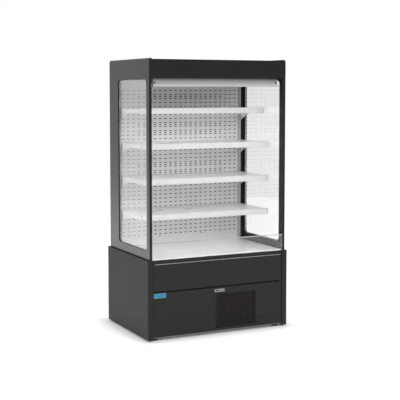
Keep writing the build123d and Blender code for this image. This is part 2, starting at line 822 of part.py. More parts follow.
def compressor():
    """Hermetic compressor: a domed shell on a plate with four rubber grommets, and two pipe stubs."""
    plate_low = room_floor + grommet_height
    half = compressor_plate / 2
    with BuildPart() as machine:
        rod(compressor_radius, (compressor_x, compressor_y, plate_low + compressor_seat), (0, 0, 1), compressor_height)
        fillet(machine.edges().filter_by(GeomType.CIRCLE), radius=compressor_dome)
        block((compressor_x - half, compressor_x + half), (compressor_y - half, compressor_y + half),
              (plate_low, plate_low + compressor_plate_thickness))
        seam = (compressor_x, compressor_y, plate_low + compressor_seam)
        rod(compressor_radius + compressor_seam_proud, seam, (0, 0, 1), compressor_seam_height)
        grommet_place = half - grommet_inset
        for dx in (-grommet_place, grommet_place):
            for dy in (-grommet_place, grommet_place):
                spot = (compressor_x + dx, compressor_y + dy, room_floor)
                rod(grommet_radius, spot, (0, 0, 1), grommet_height + grommet_proud)
        reach = compressor_radius + stub_length
        rod(pipe_radius + stub_wall, (compressor_x, compressor_y, discharge_z), (1, 0, 0), reach)
        rod(pipe_radius + stub_wall, (compressor_x, compressor_y, suction_z), (-1, 0, 0), reach)
        box_y = compressor_y + compressor_radius - terminal_box_sink
        box_z = plate_low + terminal_box_rise
        block((compressor_x - terminal_box[0] / 2, compressor_x + terminal_box[0] / 2),
              (box_y, box_y + terminal_box[1]), (box_z, box_z + terminal_box[2]))
    return machine.part


def drip_tray():
    """Open tray on the chassis where the thaw water evaporates."""
    with BuildPart() as tray:
        block(tray_x, tray_y, (room_floor, room_floor + tray_height))
        inner_x = (tray_x[0] + tray_wall, tray_x[1] - tray_wall)
        inner_y = (tray_y[0] + tray_wall, tray_y[1] - tray_wall)
        block(inner_x, inner_y, (room_floor + tray_wall, room_floor + tray_height), Mode.SUBTRACT)
    return tray.part


def refrigerant_pipes():
    """Discharge, liquid and suction lines between the compressor and the two coils."""
    with BuildPart() as pipes:
        for route in (discharge_route, liquid_route, suction_route):
            with BuildLine() as line:
                FilletPolyline(*route, radius=pipe_bend)
            start = line.line @ 0
            with BuildSketch(Plane(origin=start, z_dir=line.line % 0)) as section:
                Circle(pipe_radius)
            sweep(section.sketch, path=line.line)
    return pipes.part


# ---------------------------------------------------------------- upper cabinet
def rear_wall():
    """Double-skinned rear wall, foamed through a hole in its underside."""
    y = (rear_wall_front, rear_wall_front + rear_wall_thickness)
    with BuildPart() as wall:
        block((-upper_inner, upper_inner), y, (base_top, rear_wall_top))
        inner = upper_inner - skin
        block((-inner, inner), (y[0] + skin, y[1] - skin), (base_top + skin, rear_wall_top - skin), Mode.SUBTRACT)
        middle = (y[0] + y[1]) / 2
        rod(foam_hole_radius, (0, middle, base_top), (0, 0, 1), skin, Mode.SUBTRACT)
    return wall.part


def duct_panel():
    """Slotted rear panel of the shelf space. The side columns lack the closer extra rows."""
    first_column = -(slot_columns - 1) / 2 * slot_column_pitch
    row_z = [slot_first_row + row * slot_row_pitch for row in range(slot_rows)]
    extra_z = [slot_first_row + row * slot_row_pitch for row in extra_rows]
    slots = []
    for column in range(slot_columns):
        centre_x = first_column + column * slot_column_pitch
        plain = column < plain_edge_columns or column >= slot_columns - plain_edge_columns
        slots += [(centre_x, z) for z in (row_z if plain else row_z + extra_z)]
    panel_height = canopy_bottom - duct_panel_bottom
    centre = (0, duct_panel_bottom + panel_height / 2)
    size = (2 * duct_panel_half, panel_height)
    face = perforated(Plane.XZ.offset(-duct_panel_face), centre, size, slots, (slot_length, slot_height))
    with BuildPart() as panel:
        extrude(face, amount=sheet, dir=(0, 1, 0), clean=False)
    return panel.part


def duct_screws():
    """Row of dark screws that hold the duct panel, near its lower edge."""
    with BuildPart() as screws:
        for x in duct_screw_places:
            rod(duct_screw_radius, (x, duct_panel_face, duct_screw_z), (0, -1, 0), duct_screw_head)
        rims = screws.edges().filter_by(GeomType.CIRCLE).group_by(Axis.Y)[0]
        fillet(rims, radius=duct_screw_rounding)
    return screws.part


def rack_uprights():
    """The two slotted uprights, where the shelf brackets hook in, each with its cover strip.

    A strip laps over the edge of the duct panel. It is a solid of its own, so that an upright's
    collision shape doesn't slant across the corner into the space for the goods.
    """
    with BuildPart() as posts:
        for side in (-1, 1):
            post = on_side(side, upright_inner, upper_inner)
            block(post, (upright_face, duct_panel_face), (upright_bottom, canopy_bottom))
            hollow = on_side(side, upright_inner + upright_wall, upper_inner - upright_wall)
            block(hollow, (upright_face + upright_wall, duct_panel_face),
                  (upright_bottom, canopy_bottom), Mode.SUBTRACT)
            back_leg = on_side(side, upper_inner - upright_wall, upper_inner)
            block(back_leg, (upright_face, rear_wall_front), (upright_bottom, canopy_bottom))
        slot_x = bracket_x + bracket_thickness / 2
        slots = [
            (side * slot_x, first_slot + index * rack_pitch)
            for side in (-1, 1)
            for index in range(rack_slot_count)
        ]
        with BuildSketch(Plane.XZ.offset(-upright_face)):
            with Locations(*slots):
                Rectangle(rack_slot_width, rack_slot_height)
        extrude(amount=-upright_wall, mode=Mode.SUBTRACT)
    strips = []
    for side in (-1, 1):
        with BuildPart() as strip:
            lap = on_side(side, duct_panel_half - duct_panel_lap, upright_inner)
            block(lap, (duct_panel_face - sheet, duct_panel_face), (upright_bottom, canopy_bottom))
        strips += strip.part.solids()
    return Compound([*posts.part.solids(), *strips])


window_middle = ((window_front + window_back) / 2, (window_bottom + window_top) / 2)
window_size = (window_back - window_front, window_top - window_bottom)


def window_outline(grow):
    """Rounded outline of the window, grown all round; it joins the sketch being built."""
    with Locations(window_middle):
        RectangleRounded(window_size[0] + 2 * grow, window_size[1] + 2 * grow, window_radius + grow)


def end_frame(side):
    """End frame: a flat hollow box with a rounded window and a pocket for the sealed glass."""
    low_x = min(side * upper_inner, side * upper_half)
    frame_depth = upper_back - end_frame_front
    middle_y = (upper_back + end_frame_front) / 2
    pocket = end_frame_thickness - glass_recess
    with BuildPart() as frame:
        with BuildSketch(Plane.YZ.offset(low_x)):
            with Locations((middle_y, (base_top + height) / 2)):
                Rectangle(frame_depth, height - base_top)
        extrude(amount=end_frame_thickness)
        top_edges = frame.edges().filter_by(Axis.Y).group_by(Axis.Z)[-1].sort_by(Axis.X)
        fillet(top_edges[-1 if side > 0 else 0], radius=end_frame_rounding)
        with BuildSketch(Plane.YZ.offset(low_x)) as opening:
            window_outline(0)
        extrude(opening.sketch, amount=end_frame_thickness, mode=Mode.SUBTRACT)
        pocket_x = min(side * upper_inner, side * (upper_inner + pocket))
        with BuildSketch(Plane.YZ.offset(pocket_x)) as rebate:
            window_outline(glass_seat)
        extrude(rebate.sketch, amount=pocket, mode=Mode.SUBTRACT)
        cavity_top = height - end_frame_rounding - sheet
        with BuildSketch(Plane.YZ.offset(low_x + sheet)) as cavity:
            with Locations((middle_y, (base_top + cavity_top) / 2)):
                Rectangle(frame_depth - 2 * sheet, cavity_top - base_top)
            with Locations(window_middle):
                grow = 2 * (glass_seat + sheet)
                RectangleRounded(window_size[0] + grow, window_size[1] + grow,
                                 window_radius + grow / 2, mode=Mode.SUBTRACT)
        extrude(cavity.sketch, amount=end_frame_thickness - 2 * sheet, mode=Mode.SUBTRACT)
    return frame.part


def end_glass():
    """Sealed units of two panes, one in each end frame."""
    pocket = end_frame_thickness - glass_recess
    with BuildPart() as panes:
        for side in (-1, 1):
            outer_x = on_side(side, upper_inner + pocket - outer_pane, upper_inner + pocket)
            inner_x = on_side(side, upper_inner, upper_inner + inner_pane)
            for x in (outer_x, inner_x):
                with BuildSketch(Plane.YZ.offset(x[0])) as outline:
                    window_outline(glass_lap)
                extrude(outline.sketch, amount=x[1] - x[0])
    return panes.part


def glass_seals():
    """Black ring round each sealed unit, with the spacer between its panes."""
    pocket = end_frame_thickness - glass_recess
    with BuildPart() as rings:
        for side in (-1, 1):
            ring_x = on_side(side, upper_inner, upper_inner + pocket)
            with BuildSketch(Plane.YZ.offset(ring_x[0])) as ring:
                window_outline(glass_seat)
                with Locations(window_middle):
                    lap = 2 * glass_lap
                    RectangleRounded(window_size[0] + lap, window_size[1] + lap,
                                     window_radius + glass_lap, mode=Mode.SUBTRACT)
            extrude(ring.sketch, amount=pocket)
            spacer_x = on_side(side, upper_inner + inner_pane, upper_inner + pocket - outer_pane)
            with BuildSketch(Plane.YZ.offset(spacer_x[0])) as spacer:
                window_outline(glass_lap)
                with Locations(window_middle):
                    inward = 2 * (glass_lap - spacer_width)
                    RectangleRounded(window_size[0] + inward, window_size[1] + inward,
                                     window_radius + inward / 2, mode=Mode.SUBTRACT)
            extrude(spacer.sketch, amount=spacer_x[1] - spacer_x[0])
    return rings.part


# ---------------------------------------------------------------- canopy
def canopy_fascia():
    """Front panel of the canopy, across both end frames, with rounded top corners."""
    plate_back = canopy_face + sheet
    with BuildPart() as panel:
        with BuildSketch(Plane.XZ.offset(-plate_back)):
            with Locations((0, (canopy_bottom + canopy_top) / 2)):
                Rectangle(2 * upper_half, canopy_top - canopy_bottom)
            fillet(vertices().group_by(Axis.Z)[-1], radius=canopy_corner)
        extrude(amount=sheet)
        inner = upper_inner - canopy_side_gap
        y = (plate_back, canopy_face + canopy_return)
        block((-inner, inner), y, (canopy_bottom, canopy_bottom + sheet))
        block((-inner, inner), y, (canopy_top - sheet, canopy_top))
    return panel.part


def canopy_roof():
    """Roof tray between the end frames, folded down at its edges."""
    with BuildPart() as tray:
        x = (-upper_inner, upper_inner)
        y = (canopy_face + canopy_return, rear_wall_back)
        block(x, y, (roof_level - roof_flange, roof_level))
        block((x[0] + sheet, x[1] - sheet), (y[0] + sheet, y[1] - sheet),
              (roof_level - roof_flange, roof_level - sheet), Mode.SUBTRACT)
    return tray.part


def canopy_liner():
    """Ceiling of the shelf space, with the air outlet and the duct's opening cut out."""
    with BuildPart() as liner:
        y = (canopy_face + canopy_return, rear_wall_front)
        block((-upper_inner, upper_inner), y, (canopy_bottom, canopy_bottom + sheet))
        outlet_x = outlet_width / 2
        z = (canopy_bottom, canopy_bottom + sheet)
        block((-outlet_x, outlet_x), (outlet_front, outlet_front + outlet_depth), z, Mode.SUBTRACT)
        duct_back = rear_wall_front - duct_opening_gap
        block((-outlet_x, outlet_x), (duct_back - duct_opening_depth, duct_back), z, Mode.SUBTRACT)
    return liner.part


def air_honeycomb():
    """Grid in the canopy's outlet that straightens the air curtain; its rim lies on the liner."""
    half = outlet_width / 2 - seat_gap
    y = (outlet_front + seat_gap, outlet_front + outlet_depth - seat_gap)
    cell_x = 2 * half / outlet_columns
    cell_y = (y[1] - y[0]) / outlet_rows
    top = canopy_bottom + sheet
    cells = [
        (-half + (column + 0.5) * cell_x, y[0] + (row + 0.5) * cell_y)
        for column in range(outlet_columns)
        for row in range(outlet_rows)
    ]
    size = (2 * half, y[1] - y[0])
    hole = (cell_x - outlet_cell_wall, cell_y - outlet_cell_wall)
    face = perforated(Plane.XY.offset(top - outlet_drop), (0, (y[0] + y[1]) / 2), size, cells, hole)
    with BuildPart() as grid:
        extrude(face, amount=outlet_height, dir=(0, 0, 1), clean=False)
        with BuildSketch(Plane.XY.offset(top)):
            with Locations((0, (y[0] + y[1]) / 2)):
                Rectangle(2 * (half + outlet_flange), y[1] - y[0] + 2 * outlet_flange)
                Rectangle(2 * half, y[1] - y[0], mode=Mode.SUBTRACT)
        extrude(amount=outlet_flange_thickness)
    return grid.part


def canopy_lamp():
    """Lamp tube under the canopy, in two holders."""
    z = canopy_bottom - lamp_drop
    half = lamp_length / 2
    with BuildPart() as lamp:
        rod(lamp_radius, (-half, lamp_y, z), (1, 0, 0), lamp_length)
        for side in (-1, 1):
            holder = on_side(side, half - lamp_holder_grip, half - lamp_holder_grip + lamp_holder_length)
            half_holder = lamp_holder / 2
            block(holder, (lamp_y - half_holder, lamp_y + half_holder), (z - half_holder, canopy_bottom))
    return lamp.part


# ---------------------------------------------------------------- night blind
def blind_cassette():
    """Round cassette of the night blind: a tube with a slit, capped ends and three fixing feet."""
    inner = cassette_radius - bar_wall
    with BuildPart() as cassette:
        rod(cassette_radius, (-cassette_half, blind_y, cassette_z), (1, 0, 0), 2 * cassette_half)
        rod(inner, (-cassette_half, blind_y, cassette_z), (1, 0, 0), 2 * cassette_half, Mode.SUBTRACT)
        slit = (blind_plane - cassette_slit / 2, blind_plane + cassette_slit / 2)
        block((-cassette_half, cassette_half), slit, (cassette_z - cassette_radius, cassette_z), Mode.SUBTRACT)
        for side in (-1, 1):
            cap_x = min(side * cassette_half, side * (cassette_half + cassette_cap))
            rod(cassette_radius, (cap_x, blind_y, cassette_z), (1, 0, 0), cassette_cap)
        foot_x_half, foot_y_half = cassette_foot_length / 2, cassette_foot_width / 2
        for x in cassette_foot_places:
            block((x - foot_x_half, x + foot_x_half), (blind_y - foot_y_half, blind_y + foot_y_half),
                  (canopy_bottom - cassette_foot_height, canopy_bottom))
        for side in (-1, 1):
            start = min(side * cassette_half, side * (cassette_half + cassette_cap))
            bore = roll_pin_radius + running_gap
            rod(bore, (start, blind_y, cassette_z), (1, 0, 0), cassette_cap, Mode.SUBTRACT)
    return cassette.part


def blind_roller():
    """Spring roller with the wound blind, and its two end pins."""
    with BuildPart() as roller:
        rod(roll_radius, (-roll_half, blind_y, cassette_z), (1, 0, 0), 2 * roll_half)
        pin = roll_half + roll_pin_length
        rod(roll_pin_radius, (-pin, blind_y, cassette_z), (1, 0, 0), 2 * pin)
    return roller.part


def blind_cloth():
    """Free stretch of the blind between its roll and the pull bar, with the blind wound up."""
    with BuildPart() as cloth:
        y = (blind_plane - blind_thickness / 2, blind_plane + blind_thickness / 2)
        block((-blind_half, blind_half), y, (bar_top, cassette_z - blind_root))
    return cloth.part


def pull_bar():
    """Hollow bar along the blind's lower edge, closed at its ends."""
    y = (blind_plane - bar_depth / 2, blind_plane + bar_depth / 2)
    with BuildPart() as bar:
        block((-bar_half, bar_half), y, (bar_top - bar_height, bar_top))
        fillet(bar.edges().filter_by(Axis.X), radius=bar_rounding)
        inside = bar_half - bar_end_wall
        cap = bar_wall + bar_rib
        block((-inside, inside), (y[0] + bar_wall, y[1] - bar_wall), (bar_top - bar_height + cap, bar_top - cap),
              Mode.SUBTRACT)
    return bar.part


# ---------------------------------------------------------------- shelves and deck
def shelf_tray(top, front_edge):
    """Folded shelf that lies on its two brackets; its rear corners pass the uprights."""
    face = front_edge + rail_lip
    with BuildPart() as tray:
        block((-shelf_half, shelf_half), (face, shelf_back), (top - shelf_edge, top))
        fillet(tray.faces().sort_by(Axis.Z)[-1].edges(), radius=shelf_rounding)
        inner = shelf_half - sheet
        block((-inner, inner), (face + sheet, shelf_back - sheet), (top - shelf_edge, top - sheet), Mode.SUBTRACT)
        for side in (-1, 1):
            corner = on_side(side, shelf_half - shelf_notch, shelf_half)
            block(corner, (upright_face - upright_clearance, shelf_back), (top - shelf_edge, top), Mode.SUBTRACT)
        block((-shelf_half, shelf_half), (face, face + sheet), (top - shelf_front_edge, top - shelf_edge))
        middle = (face + shelf_back) / 2
        stiffener = bracket_x - stiffener_gap
        block((-stiffener, stiffener), (middle, middle + stiffener_thickness), (top - shelf_edge, top - sheet))
    return tray.part


def ticket_rail(top, front_edge):
    """White price rail clipped over the shelf's front edge."""
    low = top - rail_drop
    high = low + rail_height
    back_y = front_edge + rail_lip
    with BuildPart() as rail:
        block((-shelf_half, shelf_half), (front_edge, back_y), (low, high))
        fillet(rail.faces().sort_by(Axis.Y)[0].edges().filter_by(Axis.X), radius=rail_rounding)
        block((-shelf_half, shelf_half), (front_edge + rail_wall, back_y),
              (low + rail_wall, high - rail_wall), Mode.SUBTRACT)
        clip_low = top - shelf_front_edge + rail_clip_rise
        block((-shelf_half, shelf_half), (front_edge + rail_wall - rail_clip_sink, back_y),
              (clip_low, clip_low + rail_clip_thickness))
    return rail.part


def shelf_brackets():
    """Eight brackets, a pair for each shelf, hooked into the uprights; the underside is hollow-curved."""
    root = upright_face - seat_gap
    with BuildPart() as brackets:
        for shelf_top, front_edge in zip(shelf_tops, shelf_fronts):
            top = shelf_top - sheet
            tip = front_edge + rail_lip + bracket_setback
            for side in (-1, 1):
                low_x = min(side * bracket_x, side * (bracket_x + bracket_thickness))
                with BuildSketch(Plane.YZ.offset(low_x)) as profile:
                    with BuildLine():
                        Polyline((root, top - bracket_root), (root, top), (tip, top), (tip, top - bracket_tip),
                                 (bracket_knee_y, top - bracket_knee))
                        ThreePointArc((bracket_knee_y, top - bracket_knee), (bracket_belly_y, top - bracket_belly),
                                      (root, top - bracket_root))
                    make_face()
                    for drop in (hook_upper, hook_upper + rack_pitch):
                        z = top - drop
                        with Locations(((root + upright_face + hook_reach) / 2, z)):
                            Rectangle(upright_face + hook_reach - root, hook_height)
                        tooth_y = upright_face + upright_wall + hook_clear
                        tooth_width = upright_face + hook_reach - tooth_y
                        with Locations((tooth_y + tooth_width / 2, z - hook_drop)):
                            Rectangle(tooth_width, hook_height)
                extrude(profile.sketch, amount=bracket_thickness)
    return brackets.part


def return_grille():
    """Fixed front strip of the deck, with two rows of slots where the cold air returns."""
    x = (-deck_half, deck_half)
    y = (well_front, return_grille_back)
    with BuildPart() as strip:
        block(x, y, (base_top, deck_top))
        fillet(strip.faces().sort_by(Axis.Z)[-1].edges(), radius=deck_rounding)
        block((x[0] + sheet, x[1] - sheet), (y[0] + sheet, y[1] - sheet), (base_top, deck_top - sheet), Mode.SUBTRACT)
        with BuildSketch(Plane.XY.offset(deck_top - sheet)):
            for row in return_slot_rows:
                with Locations((0, row)):
                    with GridLocations(return_slot_pitch, 1, return_slot_count, 1):
                        SlotOverall(return_slot_length, return_slot_width)
        extrude(amount=sheet, mode=Mode.SUBTRACT)
    return strip.part


def deck_tray():
    """Lift-out tray that covers the evaporator, resting on the rim of the well."""
    x = (-deck_half, deck_half)
    y = (return_grille_back + panel_gap, duct_panel_face - deck_back_gap)
    with BuildPart() as tray:
        block(x, y, (base_top, deck_top))
        fillet(tray.faces().sort_by(Axis.Z)[-1].edges(), radius=deck_rounding)
        block((x[0] + sheet, x[1] - sheet), (y[0] + sheet, y[1] - sheet), (base_top, deck_top - sheet), Mode.SUBTRACT)
        for side in (-1, 1):
            corner = on_side(side, upright_inner - upright_clearance, deck_half)
            block(corner, (upright_face - upright_clearance, y[1]), (base_top, deck_top), Mode.SUBTRACT)
    return tray.part


def front_riser():
    """Clear plate that stands on the top rail between the end frames and keeps goods on the deck."""
    y_front = panel_face + riser_setback
    y = (y_front, y_front + riser_thickness)
    over_sides = base_top + seat_gap
    end = upper_inner - riser_end_gap
    with BuildPart() as plate:
        block((-panel_half, panel_half), y, (rail_top, over_sides))
        block((-end, end), y, (over_sides, rail_top + riser_height))
    return plate.part


# ---------------------------------------------------------------- build and write every piece
keep(chassis(), "chassis")
keep(base_side(-1), "base_side_left")
keep(base_side(1), "base_side_right")
keep(base_back_grille(), "base_back_grille")
keep(bumper_fascia(), "bumper_fascia")
keep(bumper_trim(), "bumper_trim")
keep(top_rail(), "top_rail")
keep(insulated_well(), "insulated_well")
keep(service_panel(), "service_panel")
keep(controller(), "controller")
for number, place in enumerate(key_places, 1):
    keep(controller_key(place), f"controller_key_{number}")
keep(switch_housings(), "switch_housings")
for number, place in enumerate(rocker_places, 1):
    keep(rocker(place), f"rocker_{number}")
for across, x in (("left", -foot_x), ("right", foot_x)):
    keep(levelling_foot(x, foot_y_front), f"foot_front_{across}")
    keep(levelling_foot(x, foot_y_back), f"foot_back_{across}")
keep(cable_gland(), "cable_gland")

fan_y = fan_frame_front + fan_gap + fan_hub_depth / 2
for across, x in zip(("left", "right"), fan_places):
    keep(fan(x, fan_y, fan_z, fan_radius, fan_hub_radius, fan_hub_depth, *fan_blades), f"evaporator_fan_{across}")
condenser_fan_y = shroud_front + condenser_fan_gap + condenser_fan_hub[1] / 2
keep(fan(condenser_fan_x, condenser_fan_y, condenser_fan_z, condenser_fan_radius, *condenser_fan_hub,
         *condenser_fan_blades), "condenser_fan")
keep(evaporator_fan_frames(), "evaporator_fan_frames")
keep(finned_coil(-evaporator_half, evaporator_half, evaporator_front, evaporator_front + evaporator_depth,
                 well_floor + evaporator_lift, well_floor + evaporator_height, well_floor,
                 evaporator_fin_pitch, *evaporator_tubes),
     "evaporator_coil")
keep(finned_coil(condenser_left, condenser_left + condenser_width, condenser_front,
                 condenser_front + condenser_depth, condenser_bottom, condenser_bottom + condenser_height,
                 room_floor, condenser_fin_pitch, *condenser_tubes), "condenser_coil")
keep(condenser_fan_shroud(), "condenser_fan_shroud")
keep(compressor(), "compressor")
keep(drip_tray(), "drip_tray")
keep(refrigerant_pipes(), "refrigerant_pipes")

keep(rear_wall(), "rear_wall")
keep(duct_panel(), "duct_panel")
keep(duct_screws(), "duct_screws")
keep(rack_uprights(), "rack_uprights")
keep(end_frame(-1), "end_frame_left")
keep(end_frame(1), "end_frame_right")
keep(end_glass(), "end_glass")
keep(glass_seals(), "glass_seals")
keep(canopy_fascia(), "canopy_fascia")
keep(canopy_roof(), "canopy_roof")
keep(canopy_liner(), "canopy_liner")
keep(air_honeycomb(), "air_honeycomb")
keep(canopy_lamp(), "canopy_lamp")
keep(blind_cassette(), "blind_cassette")
keep(blind_roller(), "blind_roller")
keep(blind_cloth(), "blind_cloth")
keep(pull_bar(), "pull_bar")

for number, (top, front_edge) in enumerate(zip(shelf_tops, shelf_fronts), 1):
    keep(shelf_tray(top, front_edge), f"shelf_{number}")
    keep(ticket_rail(top, front_edge), f"ticket_rail_{number}")
keep(shelf_brackets(), "shelf_brackets")
keep(return_grille(), "return_grille")
keep(deck_tray(), "deck_tray")
keep(front_riser(), "front_riser")
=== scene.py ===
# %% [markdown]
# # An open multideck display fridge
#
# The fridge is a steel cabinet with an open front: glazed ends, a slotted back that breathes cold
# air, four white shelves and a dark base that holds the cooling machine. The sheet metal is already
# solid and to size in the frame, so this lesson is mostly about finishes: powder paint, enamel,
# glass, galvanised sheet. A few thin or soft pieces, which look better as their own meshes, are
# modelled here: the night blind, the price rails, the blank plate and the small fasteners.

# %% Load the frame
import json
from math import cos, dist, pi, radians, sin

import bmesh
import bpy
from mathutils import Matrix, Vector

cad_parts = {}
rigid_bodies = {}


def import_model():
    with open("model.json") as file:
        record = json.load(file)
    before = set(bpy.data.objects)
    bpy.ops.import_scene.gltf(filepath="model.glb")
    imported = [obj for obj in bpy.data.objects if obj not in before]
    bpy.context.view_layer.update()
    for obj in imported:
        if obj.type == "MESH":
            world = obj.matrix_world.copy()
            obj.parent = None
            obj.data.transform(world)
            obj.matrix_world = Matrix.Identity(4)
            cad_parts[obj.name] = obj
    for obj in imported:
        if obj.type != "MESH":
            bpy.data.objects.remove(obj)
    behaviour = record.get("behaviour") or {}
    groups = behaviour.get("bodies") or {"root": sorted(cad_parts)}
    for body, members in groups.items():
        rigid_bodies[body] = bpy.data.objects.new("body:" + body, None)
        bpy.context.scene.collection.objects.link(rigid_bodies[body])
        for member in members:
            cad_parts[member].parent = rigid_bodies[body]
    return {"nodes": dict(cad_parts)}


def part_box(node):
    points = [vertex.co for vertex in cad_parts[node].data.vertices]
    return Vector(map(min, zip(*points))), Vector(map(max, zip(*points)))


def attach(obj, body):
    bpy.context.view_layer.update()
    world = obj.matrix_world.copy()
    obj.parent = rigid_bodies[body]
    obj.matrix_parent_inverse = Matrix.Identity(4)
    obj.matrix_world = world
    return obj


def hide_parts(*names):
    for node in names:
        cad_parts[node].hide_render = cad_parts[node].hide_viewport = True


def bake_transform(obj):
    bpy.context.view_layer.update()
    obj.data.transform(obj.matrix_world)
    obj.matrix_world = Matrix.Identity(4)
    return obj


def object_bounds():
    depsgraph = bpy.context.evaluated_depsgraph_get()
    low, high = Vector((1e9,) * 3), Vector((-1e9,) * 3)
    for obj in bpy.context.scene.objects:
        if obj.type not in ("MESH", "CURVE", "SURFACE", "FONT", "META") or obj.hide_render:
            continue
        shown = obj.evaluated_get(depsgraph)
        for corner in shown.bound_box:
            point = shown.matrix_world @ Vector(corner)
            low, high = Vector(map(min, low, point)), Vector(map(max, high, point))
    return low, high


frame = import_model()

cad_box = [list(corner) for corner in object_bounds()]
print("the cabinet is", [round(high - low, 3) for low, high in zip(*cad_box)], "metres")

# %% [markdown]
# ## Camera
#
# The photograph was taken a little left of the cabinet, at about the height of a standing person's
# shoulder, with a long lens and the camera held almost level. Almost level keeps the uprights
# upright. A small lens shift, not a tilt, brings the cabinet into the middle of the picture.

# %% Camera
camera_place = Vector((-3.28381, -6.65396, 1.76784))
camera_heading = 0.4622  # radians right of straight ahead
camera_tilt = 0.0778  # radians down
focal_length = 88.4965  # millimetres on a 36 mm sensor
upward_shift = -0.08

camera_data = bpy.data.cameras.new("photo_camera")
camera_data.lens = focal_length
camera_data.sensor_width = 36
camera_data.shift_y = upward_shift
camera = bpy.data.objects.new("photo_camera", camera_data)
camera.location = camera_place
camera.rotation_euler = (pi / 2 - camera_tilt, 0, -camera_heading)
bpy.context.scene.collection.objects.link(camera)
bpy.context.scene.camera = camera
bpy.context.scene.view_settings.view_transform = "Standard"
print("the camera stands", round(camera_place.length, 2), "metres from the cabinet's foot")

# %% [markdown]
# ## Small helpers for finishes
#
# Every finish starts from one Principled shader. Two kinds of unevenness make sheet metal look real:
# slow clouds, where the coat is a little lighter or duller, and fine grain, which a raking light
# picks out. Both are noise on Object coordinates, which are plain metres here, so a scale of 800
# means a grain of about a millimetre on every piece alike.


# %% Colours and patterns
def shown(red, green, blue):
    """A colour as a screen shows it, 0 to 255, turned into the linear light that shaders use."""
    linear = []
    for level in (red, green, blue):
        level = level / 255
        linear.append(level / 12.92 if level <= 0.04045 else ((level + 0.055) / 1.055) ** 2.4)
    return tuple(linear)


def finish(name, colour, roughness, metallic=0.0, specular=0.5):
    """A new material, its node tree and its shader, with plain values on the shader's sockets."""
    material = bpy.data.materials.new(name)
    material.use_nodes = True
    shader = material.node_tree.nodes["Principled BSDF"]
    shader.inputs["Base Color"].default_value = (*colour, 1)
    shader.inputs["Roughness"].default_value = roughness
    shader.inputs["Metallic"].default_value = metallic
    shader.inputs["Specular IOR Level"].default_value = specular
    material.diffuse_color = (*colour, 1)
    return material, material.node_tree, shader


def piece_coordinates(tree, stretch=(1, 1, 1), turn=(0, 0, 0)):
    """Object coordinates in metres, stretched and turned for a pattern."""
    source = tree.nodes.new("ShaderNodeTexCoord")
    mapping = tree.nodes.new("ShaderNodeMapping")
    mapping.inputs["Scale"].default_value = stretch
    mapping.inputs["Rotation"].default_value = turn
    tree.links.new(source.outputs["Object"], mapping.inputs["Vector"])
    return mapping.outputs["Vector"]


def clouds(tree, scale, detail=2.0, stretch=(1, 1, 1)):
    """Soft noise between about 0 and 1."""
    noise = tree.nodes.new("ShaderNodeTexNoise")
    noise.inputs["Scale"].default_value = scale
    noise.inputs["Detail"].default_value = detail
    tree.links.new(piece_coordinates(tree, stretch), noise.inputs["Vector"])
    return between(tree, noise.outputs["Fac"], 0.3, 0.7, 0.0, 1.0)


def between(tree, value, from_low, from_high, to_low, to_high):
    """Moves a value from one range to another, and keeps it inside the second."""
    ranger = tree.nodes.new("ShaderNodeMapRange")
    sockets = ("From Min", "From Max", "To Min", "To Max")
    for socket, number in zip(sockets, (from_low, from_high, to_low, to_high)):
        ranger.inputs[socket].default_value = number
    tree.links.new(value, ranger.inputs["Value"])
    return ranger.outputs["Result"]


def blend_colours(tree, share, first, second):
    """A mix of two colours, or of a colour already made and one more, by a pattern."""
    mixer = tree.nodes.new("ShaderNodeMix")
    mixer.data_type = "RGBA"
    tree.links.new(share, mixer.inputs["Factor"])
    for socket, colour in ((mixer.inputs[6], first), (mixer.inputs[7], second)):
        if isinstance(colour, tuple):
            socket.default_value = (*colour, 1)
        else:
            tree.links.new(colour, socket)
    return mixer.outputs[2]


def tone(colour, factor):
    """The same colour, lighter or darker."""
    return tuple(min(1.0, level * factor) for level in colour)


def calculate(tree, operation, value, number):
    """One step of arithmetic on a pattern."""
    step = tree.nodes.new("ShaderNodeMath")
    step.operation = operation
    tree.links.new(value, step.inputs[0])
    if number is not None:
        step.inputs[1].default_value = number
    return step.outputs[0]


def combine(tree, operation, first, second):
    """Arithmetic on two patterns."""
    step = tree.nodes.new("ShaderNodeMath")
    step.operation = operation
    tree.links.new(first, step.inputs[0])
    tree.links.new(second, step.inputs[1])
    return step.outputs[0]


def along_axis(tree, axis):
    """How far a point lies along X, Y or Z, in metres."""
    axes = tree.nodes.new("ShaderNodeSeparateXYZ")
    tree.links.new(piece_coordinates(tree), axes.inputs["Vector"])
    return axes.outputs[axis]


def uneven(tree, shader, colour, swing, scale, roughness_low, roughness_high, stretch=(1, 1, 1)):
    """Slow clouds in a finish: its tone swings a little, and so does its gloss."""
    pattern = clouds(tree, scale, 4.0, stretch)
    mixed = blend_colours(tree, pattern, tone(colour, 1 - swing), tone(colour, 1 + swing))
    tree.links.new(mixed, shader.inputs["Base Color"])
    gloss = between(tree, pattern, 0, 1, roughness_low, roughness_high)
    tree.links.new(gloss, shader.inputs["Roughness"])
    return mixed


def grain(tree, shader, height, depth, strength=1.0):
    """Relief from a 0 to 1 pattern; depth is in metres."""
    bump = tree.nodes.new("ShaderNodeBump")
    bump.inputs["Distance"].default_value = depth
    bump.inputs["Strength"].default_value = strength
    tree.links.new(height, bump.inputs["Height"])
    tree.links.new(bump.outputs["Normal"], shader.inputs["Normal"])
    return bump


# %% [markdown]
# ## Powder paint and enamel
#
# The dark panels are powder painted: a near-black coat with a fine orange-peel skin. Its depth comes
# from gloss, not from colour. Seen square on, it is almost black, and at a flat angle it mirrors the
# pale studio and looks grey, which is why the cabinet's left end is lighter than its front. So the
# base colour stays dark, and the shader's own Fresnel does the rest. The end frames have a smoother
# coat under clear lacquer, so they mirror twice as much. The white pieces inside are the same kind of
# coat with a pale colour and more gloss.


